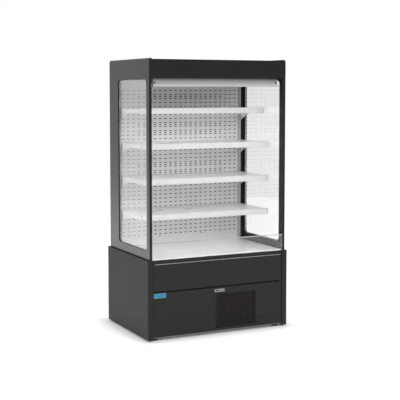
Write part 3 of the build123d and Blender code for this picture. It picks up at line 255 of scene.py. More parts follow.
# %% Paint finishes
def powder_paint(name, colour, roughness, specular, peel=0.00003, lacquer=0.0):
    """Painted steel sheet: slow clouds in tone and gloss, and a fine orange-peel skin."""
    material, tree, shader = finish(name, colour, roughness, specular=specular)
    uneven(tree, shader, colour, 0.05, 3.0, roughness - 0.04, roughness + 0.05)
    grain(tree, shader, clouds(tree, 700.0), peel)
    shader.inputs["Coat Weight"].default_value = lacquer
    shader.inputs["Coat Roughness"].default_value = 0.2
    shader.inputs["Coat IOR"].default_value = 1.6
    return material


charcoal_paint = powder_paint("charcoal_paint", shown(32, 32, 32), 0.40, 0.35)
end_paint = powder_paint("end_paint", shown(26, 18, 27), 0.30, 0.6, 0.00001, lacquer=1.0)
shelf_enamel = powder_paint("shelf_enamel", shown(240, 241, 241), 0.30, 0.5, 0.00001)
panel_enamel = powder_paint("panel_enamel", shown(253, 253, 253), 0.38, 0.5, 0.00002)
deck_enamel = powder_paint("deck_enamel", shown(251, 251, 250), 0.22, 0.5, 0.00001)
print("painted finishes:", charcoal_paint.name, end_paint.name, shelf_enamel.name, panel_enamel.name)

# %% [markdown]
# ## Two finishes on one piece
#
# The slotted uprights are black in front, and the inner side that faces the goods is light grey. The
# black is painted shade: it stands for the shadow inside the open channel behind the uprights' slots.
# The seals hold a pale spacer between their panes. Each pair is one node of the frame, so one material
# has to show both: it asks how far a point lies from the cabinet's middle, and picks the colour.

# %% Upright and seal finishes
# painted shade: the uprights' black front stands for the shadow inside their open channels
upright_shade_black, upright_grey = shown(48, 49, 51), shown(215, 216, 216)
upright_paint, tree, shader = finish("upright_paint", upright_shade_black, 0.42)
shade_black_from = 0.5125  # metres from the middle, where an upright's black front starts
from_middle = calculate(tree, "ABSOLUTE", along_axis(tree, "X"), None)
inner_side = calculate(tree, "LESS_THAN", from_middle, shade_black_from)
patched = blend_colours(tree, clouds(tree, 5.0), upright_shade_black, tone(upright_shade_black, 1.2))
tree.links.new(blend_colours(tree, inner_side, patched, upright_grey), shader.inputs["Base Color"])
tree.links.new(between(tree, clouds(tree, 40.0), 0, 1, 0.36, 0.48), shader.inputs["Roughness"])
grain(tree, shader, clouds(tree, 700.0), 0.00002)

seal_black, spacer_grey = shown(24, 24, 25), shown(232, 234, 235)
seal_and_spacer, tree, shader = finish("seal_and_spacer", seal_black, 0.6)
spacer_middle, spacer_half = 0.537, 0.0025
from_middle = calculate(tree, "ABSOLUTE", along_axis(tree, "X"), None)
off_centre = calculate(tree, "ABSOLUTE", calculate(tree, "SUBTRACT", from_middle, spacer_middle), None)
spacer = calculate(tree, "LESS_THAN", off_centre, spacer_half)
rubbed = blend_colours(tree, clouds(tree, 30.0), seal_black, tone(seal_black, 1.3))
tree.links.new(blend_colours(tree, spacer, rubbed, spacer_grey), shader.inputs["Base Color"])
tree.links.new(between(tree, clouds(tree, 60.0), 0, 1, 0.5, 0.7), shader.inputs["Roughness"])
grain(tree, shader, clouds(tree, 600.0), 0.00002)
print("two-colour finishes:", upright_paint.name, seal_and_spacer.name)

# %% [markdown]
# ## Bare metals
#
# Galvanised sheet is covered in spangle, crystals of zinc a centimetre across that each catch the
# light differently. A Voronoi texture gives each cell one random colour, and that colour sets both
# tone and gloss. Drawn and anodised aluminium has hair-fine streaks along its length, which is noise
# squeezed hard across the length. Copper pipe darkens in patches.


# %% Metal finishes
def galvanised_sheet(name):
    """Zinc spangle: each crystal has its own tone and gloss."""
    colour = shown(172, 176, 178)
    material, tree, shader = finish(name, colour, 0.42, metallic=0.85)
    cells = tree.nodes.new("ShaderNodeTexVoronoi")
    cells.inputs["Scale"].default_value = 90.0
    tree.links.new(piece_coordinates(tree), cells.inputs["Vector"])
    level = tree.nodes.new("ShaderNodeSeparateColor")
    tree.links.new(cells.outputs["Color"], level.inputs["Color"])
    crystal = level.outputs["Red"]
    mixed = blend_colours(tree, crystal, tone(colour, 0.80), tone(colour, 1.12))
    tree.links.new(mixed, shader.inputs["Base Color"])
    tree.links.new(between(tree, crystal, 0, 1, 0.34, 0.55), shader.inputs["Roughness"])
    grain(tree, shader, clouds(tree, 400.0), 0.00002)
    return material


def streaked_metal(name, colour, roughness, along, streak_depth=0.00001):
    """Metal drawn or brushed along one axis, 0 for X, 1 for Y, 2 for Z."""
    material, tree, shader = finish(name, colour, roughness, metallic=1.0)
    stretch = [1.0, 1.0, 1.0]
    stretch[along] = 0.02
    streaks = clouds(tree, 600.0, 3.0, stretch)
    mixed = blend_colours(tree, streaks, tone(colour, 0.93), tone(colour, 1.05))
    tree.links.new(mixed, shader.inputs["Base Color"])
    gloss = between(tree, streaks, 0, 1, roughness - 0.06, roughness + 0.08)
    tree.links.new(gloss, shader.inputs["Roughness"])
    grain(tree, shader, streaks, streak_depth)
    return material


zinc_sheet = galvanised_sheet("zinc_sheet")

# the rear wall's front skin, which only shows through the panel's slots, is painted dark and dull, as
# painted shade for the gap behind the slots
shade_skin_back, zinc_metallic = 0.326, 0.85
wall_sheet_painted_shade = galvanised_sheet("wall_sheet_painted_shade")
tree = wall_sheet_painted_shade.node_tree
shader = tree.nodes["Principled BSDF"]
# painted shade: the front skin's near-black colour and its dropped metal sheen stand for the shadow
# behind the duct panel
skin = calculate(tree, "LESS_THAN", along_axis(tree, "Y"), shade_skin_back)
zinc_colour = shader.inputs["Base Color"].links[0].from_socket
tree.links.new(blend_colours(tree, skin, zinc_colour, shown(34, 36, 37)), shader.inputs["Base Color"])
zinc_share = calculate(tree, "MULTIPLY", calculate(tree, "SUBTRACT", skin, 1.0), -zinc_metallic)
tree.links.new(zinc_share, shader.inputs["Metallic"])
trim_aluminium = streaked_metal("trim_aluminium", shown(226, 227, 229), 0.38, 0)
coil_aluminium = streaked_metal("coil_aluminium", shown(190, 192, 194), 0.40, 2)
steel_fastener = streaked_metal("steel_fastener", shown(178, 180, 184), 0.30, 2)

copper_colour = shown(184, 112, 78)
copper_pipe, tree, shader = finish("copper_pipe", copper_colour, 0.32, metallic=1.0)
tarnish = clouds(tree, 18.0, 5.0)
patina = blend_colours(tree, tarnish, tone(copper_colour, 0.55), copper_colour)
tree.links.new(patina, shader.inputs["Base Color"])
tree.links.new(between(tree, tarnish, 0, 1, 0.5, 0.26), shader.inputs["Roughness"])
grain(tree, shader, clouds(tree, 500.0), 0.00001)

fin_brown = shown(112, 74, 64)
dusty_fins, tree, shader = finish("dusty_fins", fin_brown, 0.6)
uneven(tree, shader, fin_brown, 0.35, 25.0, 0.5, 0.75)
grain(tree, shader, clouds(tree, 900.0), 0.00003)
print("metal finishes:", zinc_sheet.name, trim_aluminium.name, copper_pipe.name)

# %% [markdown]
# ## Plastics, rubber and glass
#
# The price rails are smooth white extrusions. The feet, fans and switch boxes are moulded black
# plastic with a grained skin. The display window and the blank plate are glossy. The end glass is
# clear float glass, so it needs real thickness and a real index. A ray tracer would keep daylight
# out behind such glass, so for shadow rays, and for nothing else, the pane is simply transparent.


# %% Plastic, rubber and glass finishes
def moulded_plastic(name, colour, roughness, skin=0.00003, grain_scale=900.0, coat=0.0):
    """Moulded plastic with a fine grained skin."""
    material, tree, shader = finish(name, colour, roughness)
    uneven(tree, shader, colour, 0.04, 12.0, roughness - 0.04, roughness + 0.04)
    grain(tree, shader, clouds(tree, grain_scale), skin)
    shader.inputs["Coat Weight"].default_value = coat
    return material


rail_plastic = moulded_plastic("rail_plastic", shown(212, 213, 213), 0.28, 0.000005)
label_card = moulded_plastic("label_card", shown(219, 220, 220), 0.45, 0.00001)
edge_profile = moulded_plastic("edge_profile", shown(186, 187, 188), 0.2, 0.000004)
cap_grey = moulded_plastic("cap_grey", shown(128, 130, 132), 0.45)
blind_housing = moulded_plastic("blind_housing", shown(141, 142, 141), 0.42, 0.00001)
bar_satin = moulded_plastic("bar_satin", shown(180, 181, 180), 0.38, 0.00001)
black_plastic = moulded_plastic("black_plastic", shown(28, 28, 29), 0.45)
foot_plastic = moulded_plastic("foot_plastic", shown(20, 20, 20), 0.55)
control_plastic = moulded_plastic("control_plastic", shown(152, 153, 155), 0.40)
key_plastic = moulded_plastic("key_plastic", shown(62, 64, 67), 0.45)
display_window = moulded_plastic("display_window", shown(52, 54, 58), 0.12, 0.000002, coat=0.6)
plate_enamel = moulded_plastic("plate_enamel", shown(20, 118, 158), 0.25, 0.000004, coat=0.5)
plate_rim = moulded_plastic("plate_rim", shown(130, 185, 205), 0.30, 0.000004)
lamp_white = moulded_plastic("lamp_white", shown(238, 240, 240), 0.35, 0.000005)
drip_plastic = moulded_plastic("drip_plastic", shown(44, 45, 47), 0.38)
compressor_black = moulded_plastic(
    "compressor_black", shown(22, 22, 23), 0.30, 0.00004, 350.0, coat=0.3
)

pane_glass, tree, shader = finish("pane_glass", shown(252, 253, 253), 0.0)
shader.inputs["Transmission Weight"].default_value = 1.0
shader.inputs["IOR"].default_value = 1.5
smears = between(tree, clouds(tree, 5.0, 6.0), 0.45, 1.0, 0.0, 0.035)
tree.links.new(smears, shader.inputs["Roughness"])
clear = tree.nodes.new("ShaderNodeBsdfTransparent")
clear.inputs["Color"].default_value = (0.95, 0.95, 0.95, 1)
path = tree.nodes.new("ShaderNodeLightPath")
chooser = tree.nodes.new("ShaderNodeMixShader")
tree.links.new(path.outputs["Is Shadow Ray"], chooser.inputs[0])
tree.links.new(shader.outputs["BSDF"], chooser.inputs[1])
tree.links.new(clear.outputs["BSDF"], chooser.inputs[2])
tree.links.new(chooser.outputs["Shader"], tree.nodes["Material Output"].inputs["Surface"])
print("glass has an index of", shader.inputs["IOR"].default_value)

# %% [markdown]
# ## Blind cloth
#
# The night blind is a coated woven cloth. A weave is two sets of threads that pass over and under
# each other: two sine bands at right angles, multiplied, give that checker of bumps. The cloth hangs
# in the X and Z directions, so the bands follow those two coordinates.

# %% Woven cloth finish
cloth_colour = shown(168, 170, 171)
blind_weave, tree, shader = finish("blind_weave", cloth_colour, 0.65, specular=0.35)
thread_bands = []
for axis in ("X", "Z"):
    bands = tree.nodes.new("ShaderNodeTexWave")
    bands.bands_direction = axis
    bands.inputs["Scale"].default_value = 300.0
    bands.inputs["Distortion"].default_value = 0.0
    tree.links.new(piece_coordinates(tree), bands.inputs["Vector"])
    thread_bands.append(bands.outputs["Fac"])
weave = combine(tree, "MULTIPLY", *thread_bands)
tree.links.new(
    blend_colours(tree, weave, tone(cloth_colour, 0.88), tone(cloth_colour, 1.06)),
    shader.inputs["Base Color"],
)
tree.links.new(between(tree, clouds(tree, 6.0), 0, 1, 0.58, 0.72), shader.inputs["Roughness"])
grain(tree, shader, weave, 0.00008)
shader.inputs["Sheen Weight"].default_value = 0.15
print("woven finish:", blind_weave.name)

# %% [markdown]
# ## Dress the sheet metal
#
# The frame's own nodes are already the right shape, so each keeps its mesh and gets its finish. The
# list reads like a parts list: finish first, then what wears it.

# %% Finishes of the frame's nodes
dressed = {
    charcoal_paint: [
        "service_panel", "bumper_fascia", "top_rail", "canopy_fascia",
        "base_side_left", "base_side_right",
    ],
    end_paint: ["end_frame_left", "end_frame_right"],
    upright_paint: ["rack_uprights"],
    wall_sheet_painted_shade: ["rear_wall"],
    shelf_enamel: ["shelf_1", "shelf_2", "shelf_3", "shelf_4", "shelf_brackets"],
    panel_enamel: ["duct_panel"],
    deck_enamel: ["deck_tray", "return_grille"],
    zinc_sheet: [
        "chassis", "insulated_well", "base_back_grille", "canopy_roof",
        "evaporator_fan_frames", "condenser_fan_shroud",
    ],
    trim_aluminium: ["bumper_trim"],
    blind_housing: ["blind_cassette", "canopy_liner"],
    bar_satin: ["pull_bar"],
    coil_aluminium: ["evaporator_coil"],
    dusty_fins: ["condenser_coil"],
    copper_pipe: ["refrigerant_pipes"],
    pane_glass: ["end_glass", "front_riser"],
    seal_and_spacer: ["glass_seals"],
    lamp_white: ["canopy_lamp"],
    black_plastic: [
        "evaporator_fan_left", "evaporator_fan_right", "condenser_fan",
        "switch_housings", "rocker_1", "rocker_2", "cable_gland", "air_honeycomb",
    ],
    drip_plastic: ["drip_tray"],
    compressor_black: ["compressor", "duct_screws"],
    foot_plastic: ["foot_front_left", "foot_front_right", "foot_back_left", "foot_back_right"],
    control_plastic: ["controller"],
    key_plastic: ["controller_key_1", "controller_key_2", "controller_key_3"],
}


def dress(piece, material):
    """Gives a piece one finish all over."""
    piece.data.materials.clear()
    piece.data.materials.append(material)


for material, names in dressed.items():
    for name in names:
        dress(frame["nodes"][name], material)
print("dressed", sum(len(names) for names in dressed.values()), "nodes of the frame")

# %% [markdown]
# ## Lacquer on the outer sides only
#
# The end frames' outer sides are lacquered, and mirror the studio. Their narrow fronts and their
# inner sides, which face the goods, have the plain paint. So each end frame gets a second slot, and
# the faces that don't look outwards use it.

# %% Plain paint inside the end frames
for label, side in (("left", -1), ("right", 1)):
    end_frame = frame["nodes"][f"end_frame_{label}"]
    end_frame.data.materials.append(charcoal_paint)
    plain = 0
    for face in end_frame.data.polygons:
        if face.normal.x * side < 0.5:
            face.material_index = 1
            plain += 1
    print(end_frame.name, plain, "of", len(end_frame.data.polygons), "faces have plain paint")

# %% [markdown]
# ## Helpers for modelling
#
# New pieces start from a primitive, and an operator acts on all that is selected. The frame leaves its
# nodes selected, so everything is let go of first. A finished piece has its place in its mesh and its
# object at the origin, as the frame's nodes have, and attach puts a piece on a body.


# %% Modelling helpers
def let_go():
    """Leaves edit mode and deselects everything."""
    if bpy.context.object and bpy.context.object.mode != "OBJECT":
        bpy.ops.object.mode_set(mode="OBJECT")
    bpy.ops.object.select_all(action="DESELECT")


def start_block(name, low, high):
    """A cube primitive added at its place and size, between two corners in metres."""
    let_go()
    middle = [(a + b) / 2 for a, b in zip(low, high)]
    size = [b - a for a, b in zip(low, high)]
    bpy.ops.mesh.primitive_cube_add(size=1, location=middle, scale=size)
    piece = bpy.context.object
    piece.name = name
    settle(piece)
    return piece


def settle(piece):
    """Puts a piece's place and size in its mesh."""
    let_go()
    piece.select_set(True)
    bpy.context.view_layer.objects.active = piece
    bpy.ops.object.transform_apply(location=True, rotation=True, scale=True)


def pick(piece, mode, chosen):
    """Enters edit mode with only the elements selected that a test picks by their middle and normal."""
    let_go()
    bpy.context.view_layer.objects.active = piece
    piece.select_set(True)
    bpy.ops.object.mode_set(mode="EDIT")
    bpy.ops.mesh.select_mode(type=mode)
    bpy.ops.mesh.select_all(action="DESELECT")
    mesh = bmesh.from_edit_mesh(piece.data)
    elements = mesh.faces if mode == "FACE" else mesh.edges
    for element in elements:
        if mode == "FACE":
            element.select_set(bool(chosen(element.calc_center_median(), element.normal)))
        else:
            ends = [vertex.co for vertex in element.verts]
            element.select_set(bool(chosen(ends[0], ends[1])))
    mesh.select_flush_mode()
    bmesh.update_edit_mesh(piece.data)


def bevel_all(piece, width, segments=2):
    """Rounds every sharp edge with an applied bevel."""
    let_go()
    bpy.context.view_layer.objects.active = piece
    modifier = piece.modifiers.new("rounding", "BEVEL")
    modifier.width = width
    modifier.segments = segments
    modifier.limit_method = "ANGLE"
    modifier.angle_limit = radians(40)
    bpy.ops.object.modifier_apply(modifier=modifier.name)


def smooth(piece, degrees=35):
    """Smooth shading across gentle edges only."""
    let_go()
    piece.select_set(True)
    bpy.context.view_layer.objects.active = piece
    bpy.ops.object.shade_smooth_by_angle(angle=radians(degrees))
    let_go()


# %% [markdown]
# ## The blank plate
#
# A small blue plate sits high on the left of the service panel. A stamped plate is a thin slab with
# rounded corners and a raised rim, so: a block, its corner edges bevelled, its front face inset, and
# the field inside the rim pushed back a little. It is blank on this cabinet.

# %% Model the blank plate
panel_face = -0.382  # Y of the service panel's flat front
plate_thickness, rim_width, rim_height = 0.0016, 0.0018, 0.0005
plate_low = Vector((-0.522, panel_face - plate_thickness, 0.3085))
plate_high = Vector((-0.430, panel_face, 0.3420))
blank_plate = start_block("blank_plate", plate_low, plate_high)

pick(blank_plate, "EDGE", lambda a, b: abs(a.y - b.y) > 0.001)
bpy.ops.mesh.bevel(offset=0.003, segments=4)
pick(blank_plate, "FACE", lambda centre, normal: normal.y < -0.9)
bpy.ops.mesh.inset(thickness=rim_width)
bpy.ops.transform.translate(value=(0, rim_height, 0))
bpy.ops.object.mode_set(mode="OBJECT")
dress(blank_plate, plate_rim)
blank_plate.data.materials.append(plate_enamel)
for face in blank_plate.data.polygons:
    from_centre = face.center - (plate_low + plate_high) / 2
    in_field = abs(from_centre.x) < 0.04 and abs(from_centre.z) < 0.01
    if face.normal.y < -0.9 and in_field:
        face.material_index = 1
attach(blank_plate, "service_panel")
print("the plate has", len(blank_plate.data.polygons), "faces")

# %% [markdown]
# ## The display window
#
# The controller's bezel has a shallow well for its display. The window that fills it is a thin
# glossy slab, set a hair below the bezel. It is dark because the cabinet is off.

# %% Model the display window
bezel_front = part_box("controller")[0].y
window_low = Vector((-0.0345, bezel_front + 0.0002, 0.3170))
window_high = Vector((-0.0015, bezel_front + 0.0007, 0.3270))
display = start_block("display_window", window_low, window_high)
bevel_all(display, 0.0003)
dress(display, display_window)
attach(display, "service_panel")
print("display window", round(window_high.x - window_low.x, 4), "metres wide")

# %% [markdown]
# ## The price rails
#
# Each shelf's front edge carries a white extruded rail with a lip at its top and its bottom, and the
# lips curl towards each other to hold a strip of price cards. A flat strip would catch no shadow
# under the lips. So one rail starts as a thin back plate, and the lips are extruded from it: forwards
# first, then towards each other. The lower edge is a thin line of shade, as on the real one.

# %% Model one price rail
rail_low, rail_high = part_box("ticket_rail_1")
rail_wall, lip_return = 0.0014, 0.0034
cap_width = 0.0014


def push(piece, chosen, x=0, y=0, z=0):
    """Extrudes the faces that a test picks."""
    pick(piece, "FACE", chosen)
    bpy.ops.mesh.extrude_region_move(TRANSFORM_OT_translate={"value": (x, y, z)})


def cut_across(piece, point, normal):
    """Cuts every face where a plane crosses the piece."""
    pick(piece, "FACE", lambda centre, direction: True)
    bpy.ops.mesh.bisect(plane_co=point, plane_no=normal)


def model_rail(name):
    """The lowest shelf's rail: a plate with two curled lips."""
    back_front = rail_high.y - rail_wall
    rail = start_block(
        name,
        (rail_low.x + cap_width, back_front, rail_low.z),
        (rail_high.x - cap_width, rail_high.y, rail_high.z),
    )
    for z in (rail_low.z + rail_wall, rail_high.z - rail_wall):
        cut_across(rail, (0, 0, z), (0, 0, 1))
    middle_z = (rail_low.z + rail_high.z) / 2
    tip_y = rail_low.y + 0.001
    push(
        rail,
        lambda centre, normal: normal.y < -0.9 and abs(centre.z - middle_z) > 0.02,
        y=rail_low.y - back_front,
    )
    cut_across(rail, (0, tip_y, 0), (0, 1, 0))

    def lip_tip(centre, normal, up):
        """The inward face at the front of the lower lip (up is 1) or the upper one (-1)."""
        edge = rail_low.z if up > 0 else rail_high.z
        return normal.z * up > 0.9 and centre.y < tip_y and abs(centre.z - edge) < 0.003

    for up in (1, -1):
        push(rail, lambda centre, normal: lip_tip(centre, normal, up), z=up * lip_return)
    bpy.ops.object.mode_set(mode="OBJECT")
    bevel_all(rail, 0.0003)
    return rail


price_rail = model_rail("price_rail_1")
dress(price_rail, rail_plastic)
print("one price rail has", len(price_rail.data.polygons), "faces")

# %% [markdown]
# ## The rails' caps and cards
#
# A grey cap closes each end of a rail, and an unprinted strip of card lies behind the lips. Both are
# thin slabs with rounded edges. The cap has a shallow hollow, made by an inset that is pushed in. The
# cap is a real part, and its grey is painted shade: it stands for the dark shadow line at the rail's
# curled end, seen at the shelf's right end.

# %% Model a cap and a card strip


def model_cap(name, side):
    """An end cap as high and deep as the rail."""
    ends = sorted((side * (rail_high.x - cap_width), side * rail_high.x))
    cap = start_block(name, (ends[0], rail_low.y, rail_low.z), (ends[1], rail_high.y, rail_high.z))
    pick(cap, "FACE", lambda centre, normal: normal.x * side > 0.9)
    bpy.ops.mesh.inset(thickness=0.0007)
    bpy.ops.transform.translate(value=(-side * 0.0006, 0, 0))
    bpy.ops.object.mode_set(mode="OBJECT")
    bevel_all(cap, 0.0002)
    # the cap's grey is painted shade for the shadow line at the rail's end
    dress(cap, cap_grey)
    return cap


caps = [model_cap("rail_cap_left_1", -1), model_cap("rail_cap_right_1", 1)]
card = start_block(
    "card_strip_1",
    (rail_low.x + 0.002, rail_low.y + 0.0011, rail_low.z + 0.0016),
    (rail_high.x - 0.002, rail_low.y + 0.0016, rail_high.z - 0.0016),
)
for share in (0.25, 0.5, 0.75):
    cut_across(card, (rail_low.x + share * (rail_high.x - rail_low.x), 0, 0), (1, 0, 0))
bpy.ops.object.mode_set(mode="OBJECT")
bevel_all(card, 0.00015)
dress(card, label_card)
print("the card strip is", round(card.dimensions.x, 3), "metres long")

# %% [markdown]
# ## A rail for every shelf
#
# The four rails are alike, so the first is copied to the other shelves. Each copy has its own mesh
# and is moved in edit mode, so that its place is in its vertices, as the frame's nodes have it.

# %% Copy the rails to the shelves


def copy_piece(source, name, offset):
    """A copy with its own mesh, moved by its vertices."""
    let_go()
    copied = source.copy()
    copied.data = source.data.copy()
    copied.name = name
    bpy.context.scene.collection.objects.link(copied)
    pick(copied, "FACE", lambda centre, normal: True)
    bpy.ops.transform.translate(value=offset)
    let_go()
    return copied


rail_parts = {
    "price_rail": price_rail,
    "rail_cap_left": caps[0],
    "rail_cap_right": caps[1],
    "card_strip": card,
}
for number in (1, 2, 3, 4):
    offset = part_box(f"ticket_rail_{number}")[0] - rail_low
    for label, first in rail_parts.items():
        piece = first if number == 1 else copy_piece(first, f"{label}_{number}", offset)
        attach(piece, f"shelf_{number}")
    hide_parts(f"ticket_rail_{number}")
print("rails on", number, "shelves")

# %% [markdown]
# ## The wound blind
#
# The night blind is one cloth, 0.97 m wide. At rest nearly all of it is wound on a sprung tube. A
# plain cylinder would show no turns at its ends, so the cloth is a real spiral: a strip that starts
# on the tube and grows by its own thickness each turn. Points come from the spiral's formula, in the
# plane across the tube, and Solidify gives the strip its thickness.

# %% Wind the blind
blind_axis = Vector((0, -0.318, 1.843))
cloth_half = 0.485
cloth_thickness = 0.00045
tube_radius, roll_radius = 0.0100, 0.0175
turn_pitch = 0.00048
turns = (roll_radius - tube_radius - cloth_thickness) / turn_pitch
steps = int(turns * 40)


def cloth_from_rows(name, rows):
    """A strip of cloth between its two side edges, through rows of Y and Z places."""
    mesh = bmesh.new()
    columns = 24
    grid = []
    for y, z in rows:
        places = [cloth_half * (2 * column / columns - 1) for column in range(columns + 1)]
        grid.append([mesh.verts.new((x, y, z)) for x in places])
    for lower, upper in zip(grid, grid[1:]):
        for column in range(columns):
            mesh.faces.new((lower[column], lower[column + 1], upper[column + 1], upper[column]))
    data = bpy.data.meshes.new(name)
    mesh.to_mesh(data)
    mesh.free()
    cloth = bpy.data.objects.new(name, data)
    bpy.context.scene.collection.objects.link(cloth)
    let_go()
    bpy.context.view_layer.objects.active = cloth
    wall = cloth.modifiers.new("thickness", "SOLIDIFY")
    wall.thickness = cloth_thickness
    wall.offset = 0.0
    bpy.ops.object.modifier_apply(modifier=wall.name)
    return cloth


spiral = []
for step in range(steps + 1):
    angle = 2 * pi * turns * step / steps
    radius = roll_radius - cloth_thickness / 2 - turn_pitch * angle / (2 * pi)
    spiral.append((blind_axis.y - radius * cos(angle), blind_axis.z + radius * sin(angle)))
wound_blind = cloth_from_rows("wound_blind", spiral)
dress(wound_blind, blind_weave)
smooth(wound_blind, 40)
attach(wound_blind, "blind_roller")

# %% [markdown]
# ## The roller tube
#
# The cloth winds on an aluminium tube that turns on two pins. A lathe turns such a tube, so it starts
# as a cylinder, and each end face is inset down to the pin and pulled out.

# %% Model the roller tube
let_go()
bpy.ops.mesh.primitive_cylinder_add(
    vertices=40, radius=tube_radius, depth=0.98, location=blind_axis, rotation=(0, pi / 2, 0)
)
roller_tube = bpy.context.object
roller_tube.name = "roller_tube"
settle(roller_tube)
for side in (-1, 1):
    pick(roller_tube, "FACE", lambda centre, normal: normal.x * side > 0.9)
    bpy.ops.mesh.inset(thickness=tube_radius - 0.004)
    bpy.ops.mesh.extrude_region_move(TRANSFORM_OT_translate={"value": (side * 0.013, 0, 0)})
bpy.ops.object.mode_set(mode="OBJECT")
bevel_all(roller_tube, 0.0005)
smooth(roller_tube)
dress(roller_tube, coil_aluminium)
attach(roller_tube, "blind_roller")
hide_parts("blind_roller")
print("the roller is", round(roller_tube.dimensions.x, 3), "metres long with its pins")

# %% [markdown]
# ## The falling cloth
#
# Between the roller and the pull bar the cloth hangs free. It leaves the roller at its front and
# drops straight down.

# %% Hang the falling cloth
bar_low, bar_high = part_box("pull_bar")
hang_y = (bar_low.y + bar_high.y) / 2
leave_y = spiral[0][0]
fall_top, fall_low = blind_axis.z, bar_high.z + 0.0002
fall = []
for row in range(25):
    share = row / 24
    ease = max(0.0, 1 - share / 0.5) ** 2
    row_y = hang_y + (leave_y - 0.0006 - hang_y) * ease
    fall.append((row_y, fall_top + (fall_low - fall_top) * share))
blind_drop = cloth_from_rows("blind_drop", fall)
dress(blind_drop, blind_weave)
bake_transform(blind_drop)
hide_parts("blind_cloth")
print("the free stretch is", round(fall_top - fall_low, 4), "metres at rest")

# %% [markdown]
# ## The pull bar's end caps
#
# A dark cap plugs each end of the pull bar. Seen from the front it is a small dark end, so it is a
# slab with well-rounded edges and a hollow in its outer face.

# %% Model the bar's caps
for side, label in ((-1, "left"), (1, "right")):
    ends = sorted((side * bar_high.x, side * (bar_high.x + 0.003)))
    cap = start_block(
        f"bar_cap_{label}", (ends[0], bar_low.y, bar_low.z), (ends[1], bar_high.y, bar_high.z)
    )
    pick(cap, "FACE", lambda centre, normal: normal.x * side > 0.9)
    bpy.ops.mesh.inset(thickness=0.0025)
    bpy.ops.transform.translate(value=(-side * 0.001, 0, 0))
    bpy.ops.object.mode_set(mode="OBJECT")
    bevel_all(cap, 0.0008)
    dress(cap, cap_grey)
    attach(cap, "pull_bar")
print("caps at", round(bar_high.x, 3), "metres from the middle")

# %% [markdown]
# ## The riser's edge
#
# A clear riser stands at the front of the deck, and its upper edge shows as a pale line across the
# goods space. On the real one a clear profile is pushed over the glass. It is a strip a little wider
# than the glass, its top rounded, and its underside pressed in where the glass goes.

# %% Model the riser's edge
riser_low, riser_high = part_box("front_riser")
edge_lap, edge_wall = 0.004, 0.0006
riser_edge = start_block(
    "riser_edge",
    (riser_low.x + 0.0005, riser_low.y - edge_wall, riser_high.z - edge_lap),
    (riser_high.x - 0.0005, riser_high.y + edge_wall, riser_high.z + 0.0012),
)
pick(riser_edge, "FACE", lambda centre, normal: normal.z < -0.9)
bpy.ops.mesh.inset(thickness=edge_wall)
bpy.ops.transform.translate(value=(0, 0, edge_lap))
bpy.ops.object.mode_set(mode="OBJECT")
bevel_all(riser_edge, 0.0002)
dress(riser_edge, edge_profile)
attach(riser_edge, "cabinet")
print("the riser's edge is at", round(riser_high.z, 3), "metres")

# %% [markdown]
# ## Screws
#
# The back and the roof are held by pan-head screws. A head is a short cylinder whose rim is rounded
# over, with a driver's recess in the middle. One head is modelled, and the others are copies. On the
# back they are turned to face backwards, which is a rotation about the head's own middle.

# %% Model one screw head
let_go()
bpy.ops.mesh.primitive_cylinder_add(vertices=20, radius=0.0045, depth=0.0022, location=(0, 0, 0.0011))
screw_head = bpy.context.object
screw_head.name = "roof_screw_1"
settle(screw_head)
pick(screw_head, "FACE", lambda centre, normal: normal.z > 0.9)
bpy.ops.mesh.bevel(offset=0.0009, segments=3)
pick(screw_head, "FACE", lambda centre, normal: normal.z > 0.9 and centre.z > 0.0021)
bpy.ops.mesh.inset(thickness=0.0017)
bpy.ops.mesh.extrude_region_move(TRANSFORM_OT_translate={"value": (0, 0, -0.0010)})
bpy.ops.object.mode_set(mode="OBJECT")
smooth(screw_head)
dress(screw_head, steel_fastener)
print("a screw head has", len(screw_head.data.polygons), "faces")

# %% Put the screws in place
roof_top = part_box("canopy_roof")[1].z
wall_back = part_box("rear_wall")[1].y
grille_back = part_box("base_back_grille")[1].y
roof_places = [(x, y) for x in (-0.5, 0.0, 0.5) for y in (-0.31, 0.01, 0.33)]
back_places = [(x, wall_back, z) for x in (-0.515, 0.515) for z in (0.62, 0.95, 1.28, 1.61, 1.94)]
back_places += [(x, grille_back, z) for x in (-0.505, 0.0, 0.505) for z in (0.045, 0.30, 0.555)]

upright_screw = copy_piece(screw_head, "back_screw_0", (0, 0, 0))
pick(upright_screw, "FACE", lambda centre, normal: True)
bpy.ops.transform.rotate(value=pi / 2, orient_axis="X", center_override=(0, 0, 0))
let_go()
faces_back = sum(vertex.co.y for vertex in upright_screw.data.vertices) > 0
print("the turned head faces the back:", faces_back)

screws = []
for number, (x, y) in enumerate(roof_places, 1):
    if number == 1:
        screws.append(screw_head)
    else:
        screws.append(copy_piece(screw_head, f"roof_screw_{number}", (x, y, roof_top)))
pick(screw_head, "FACE", lambda centre, normal: True)
bpy.ops.transform.translate(value=(*roof_places[0], roof_top))
let_go()
for number, place in enumerate(back_places, 1):
    screws.append(copy_piece(upright_screw, f"back_screw_{number}", place))
bpy.data.objects.remove(upright_screw)
for piece in screws:
    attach(piece, "cabinet")
print(len(screws), "screws")

# %% [markdown]
# ## Marks on the switches
#
# Each rocker has a small raised bar on its upper half that tells on from off. It is a sliver of pale
# plastic with rounded edges, laid on the rocker's slope.

# %% Model the switch marks
rocker_low, rocker_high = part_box("rocker_1")
mark_place = Vector(((rocker_low.x + rocker_high.x) / 2, rocker_low.y, rocker_high.z - 0.005))
mark = start_block(
    "rocker_mark_1",
    mark_place + Vector((-0.0008, 0.0003, -0.003)),
    mark_place + Vector((0.0008, 0.0012, 0.003)),
)
bevel_all(mark, 0.0002)
dress(mark, cap_grey)
second_mark = copy_piece(mark, "rocker_mark_2", (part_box("rocker_2")[0].x - rocker_low.x, 0, 0))
for number, piece in ((1, mark), (2, second_mark)):
    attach(piece, f"rocker_{number}")
print("marks on two rockers")

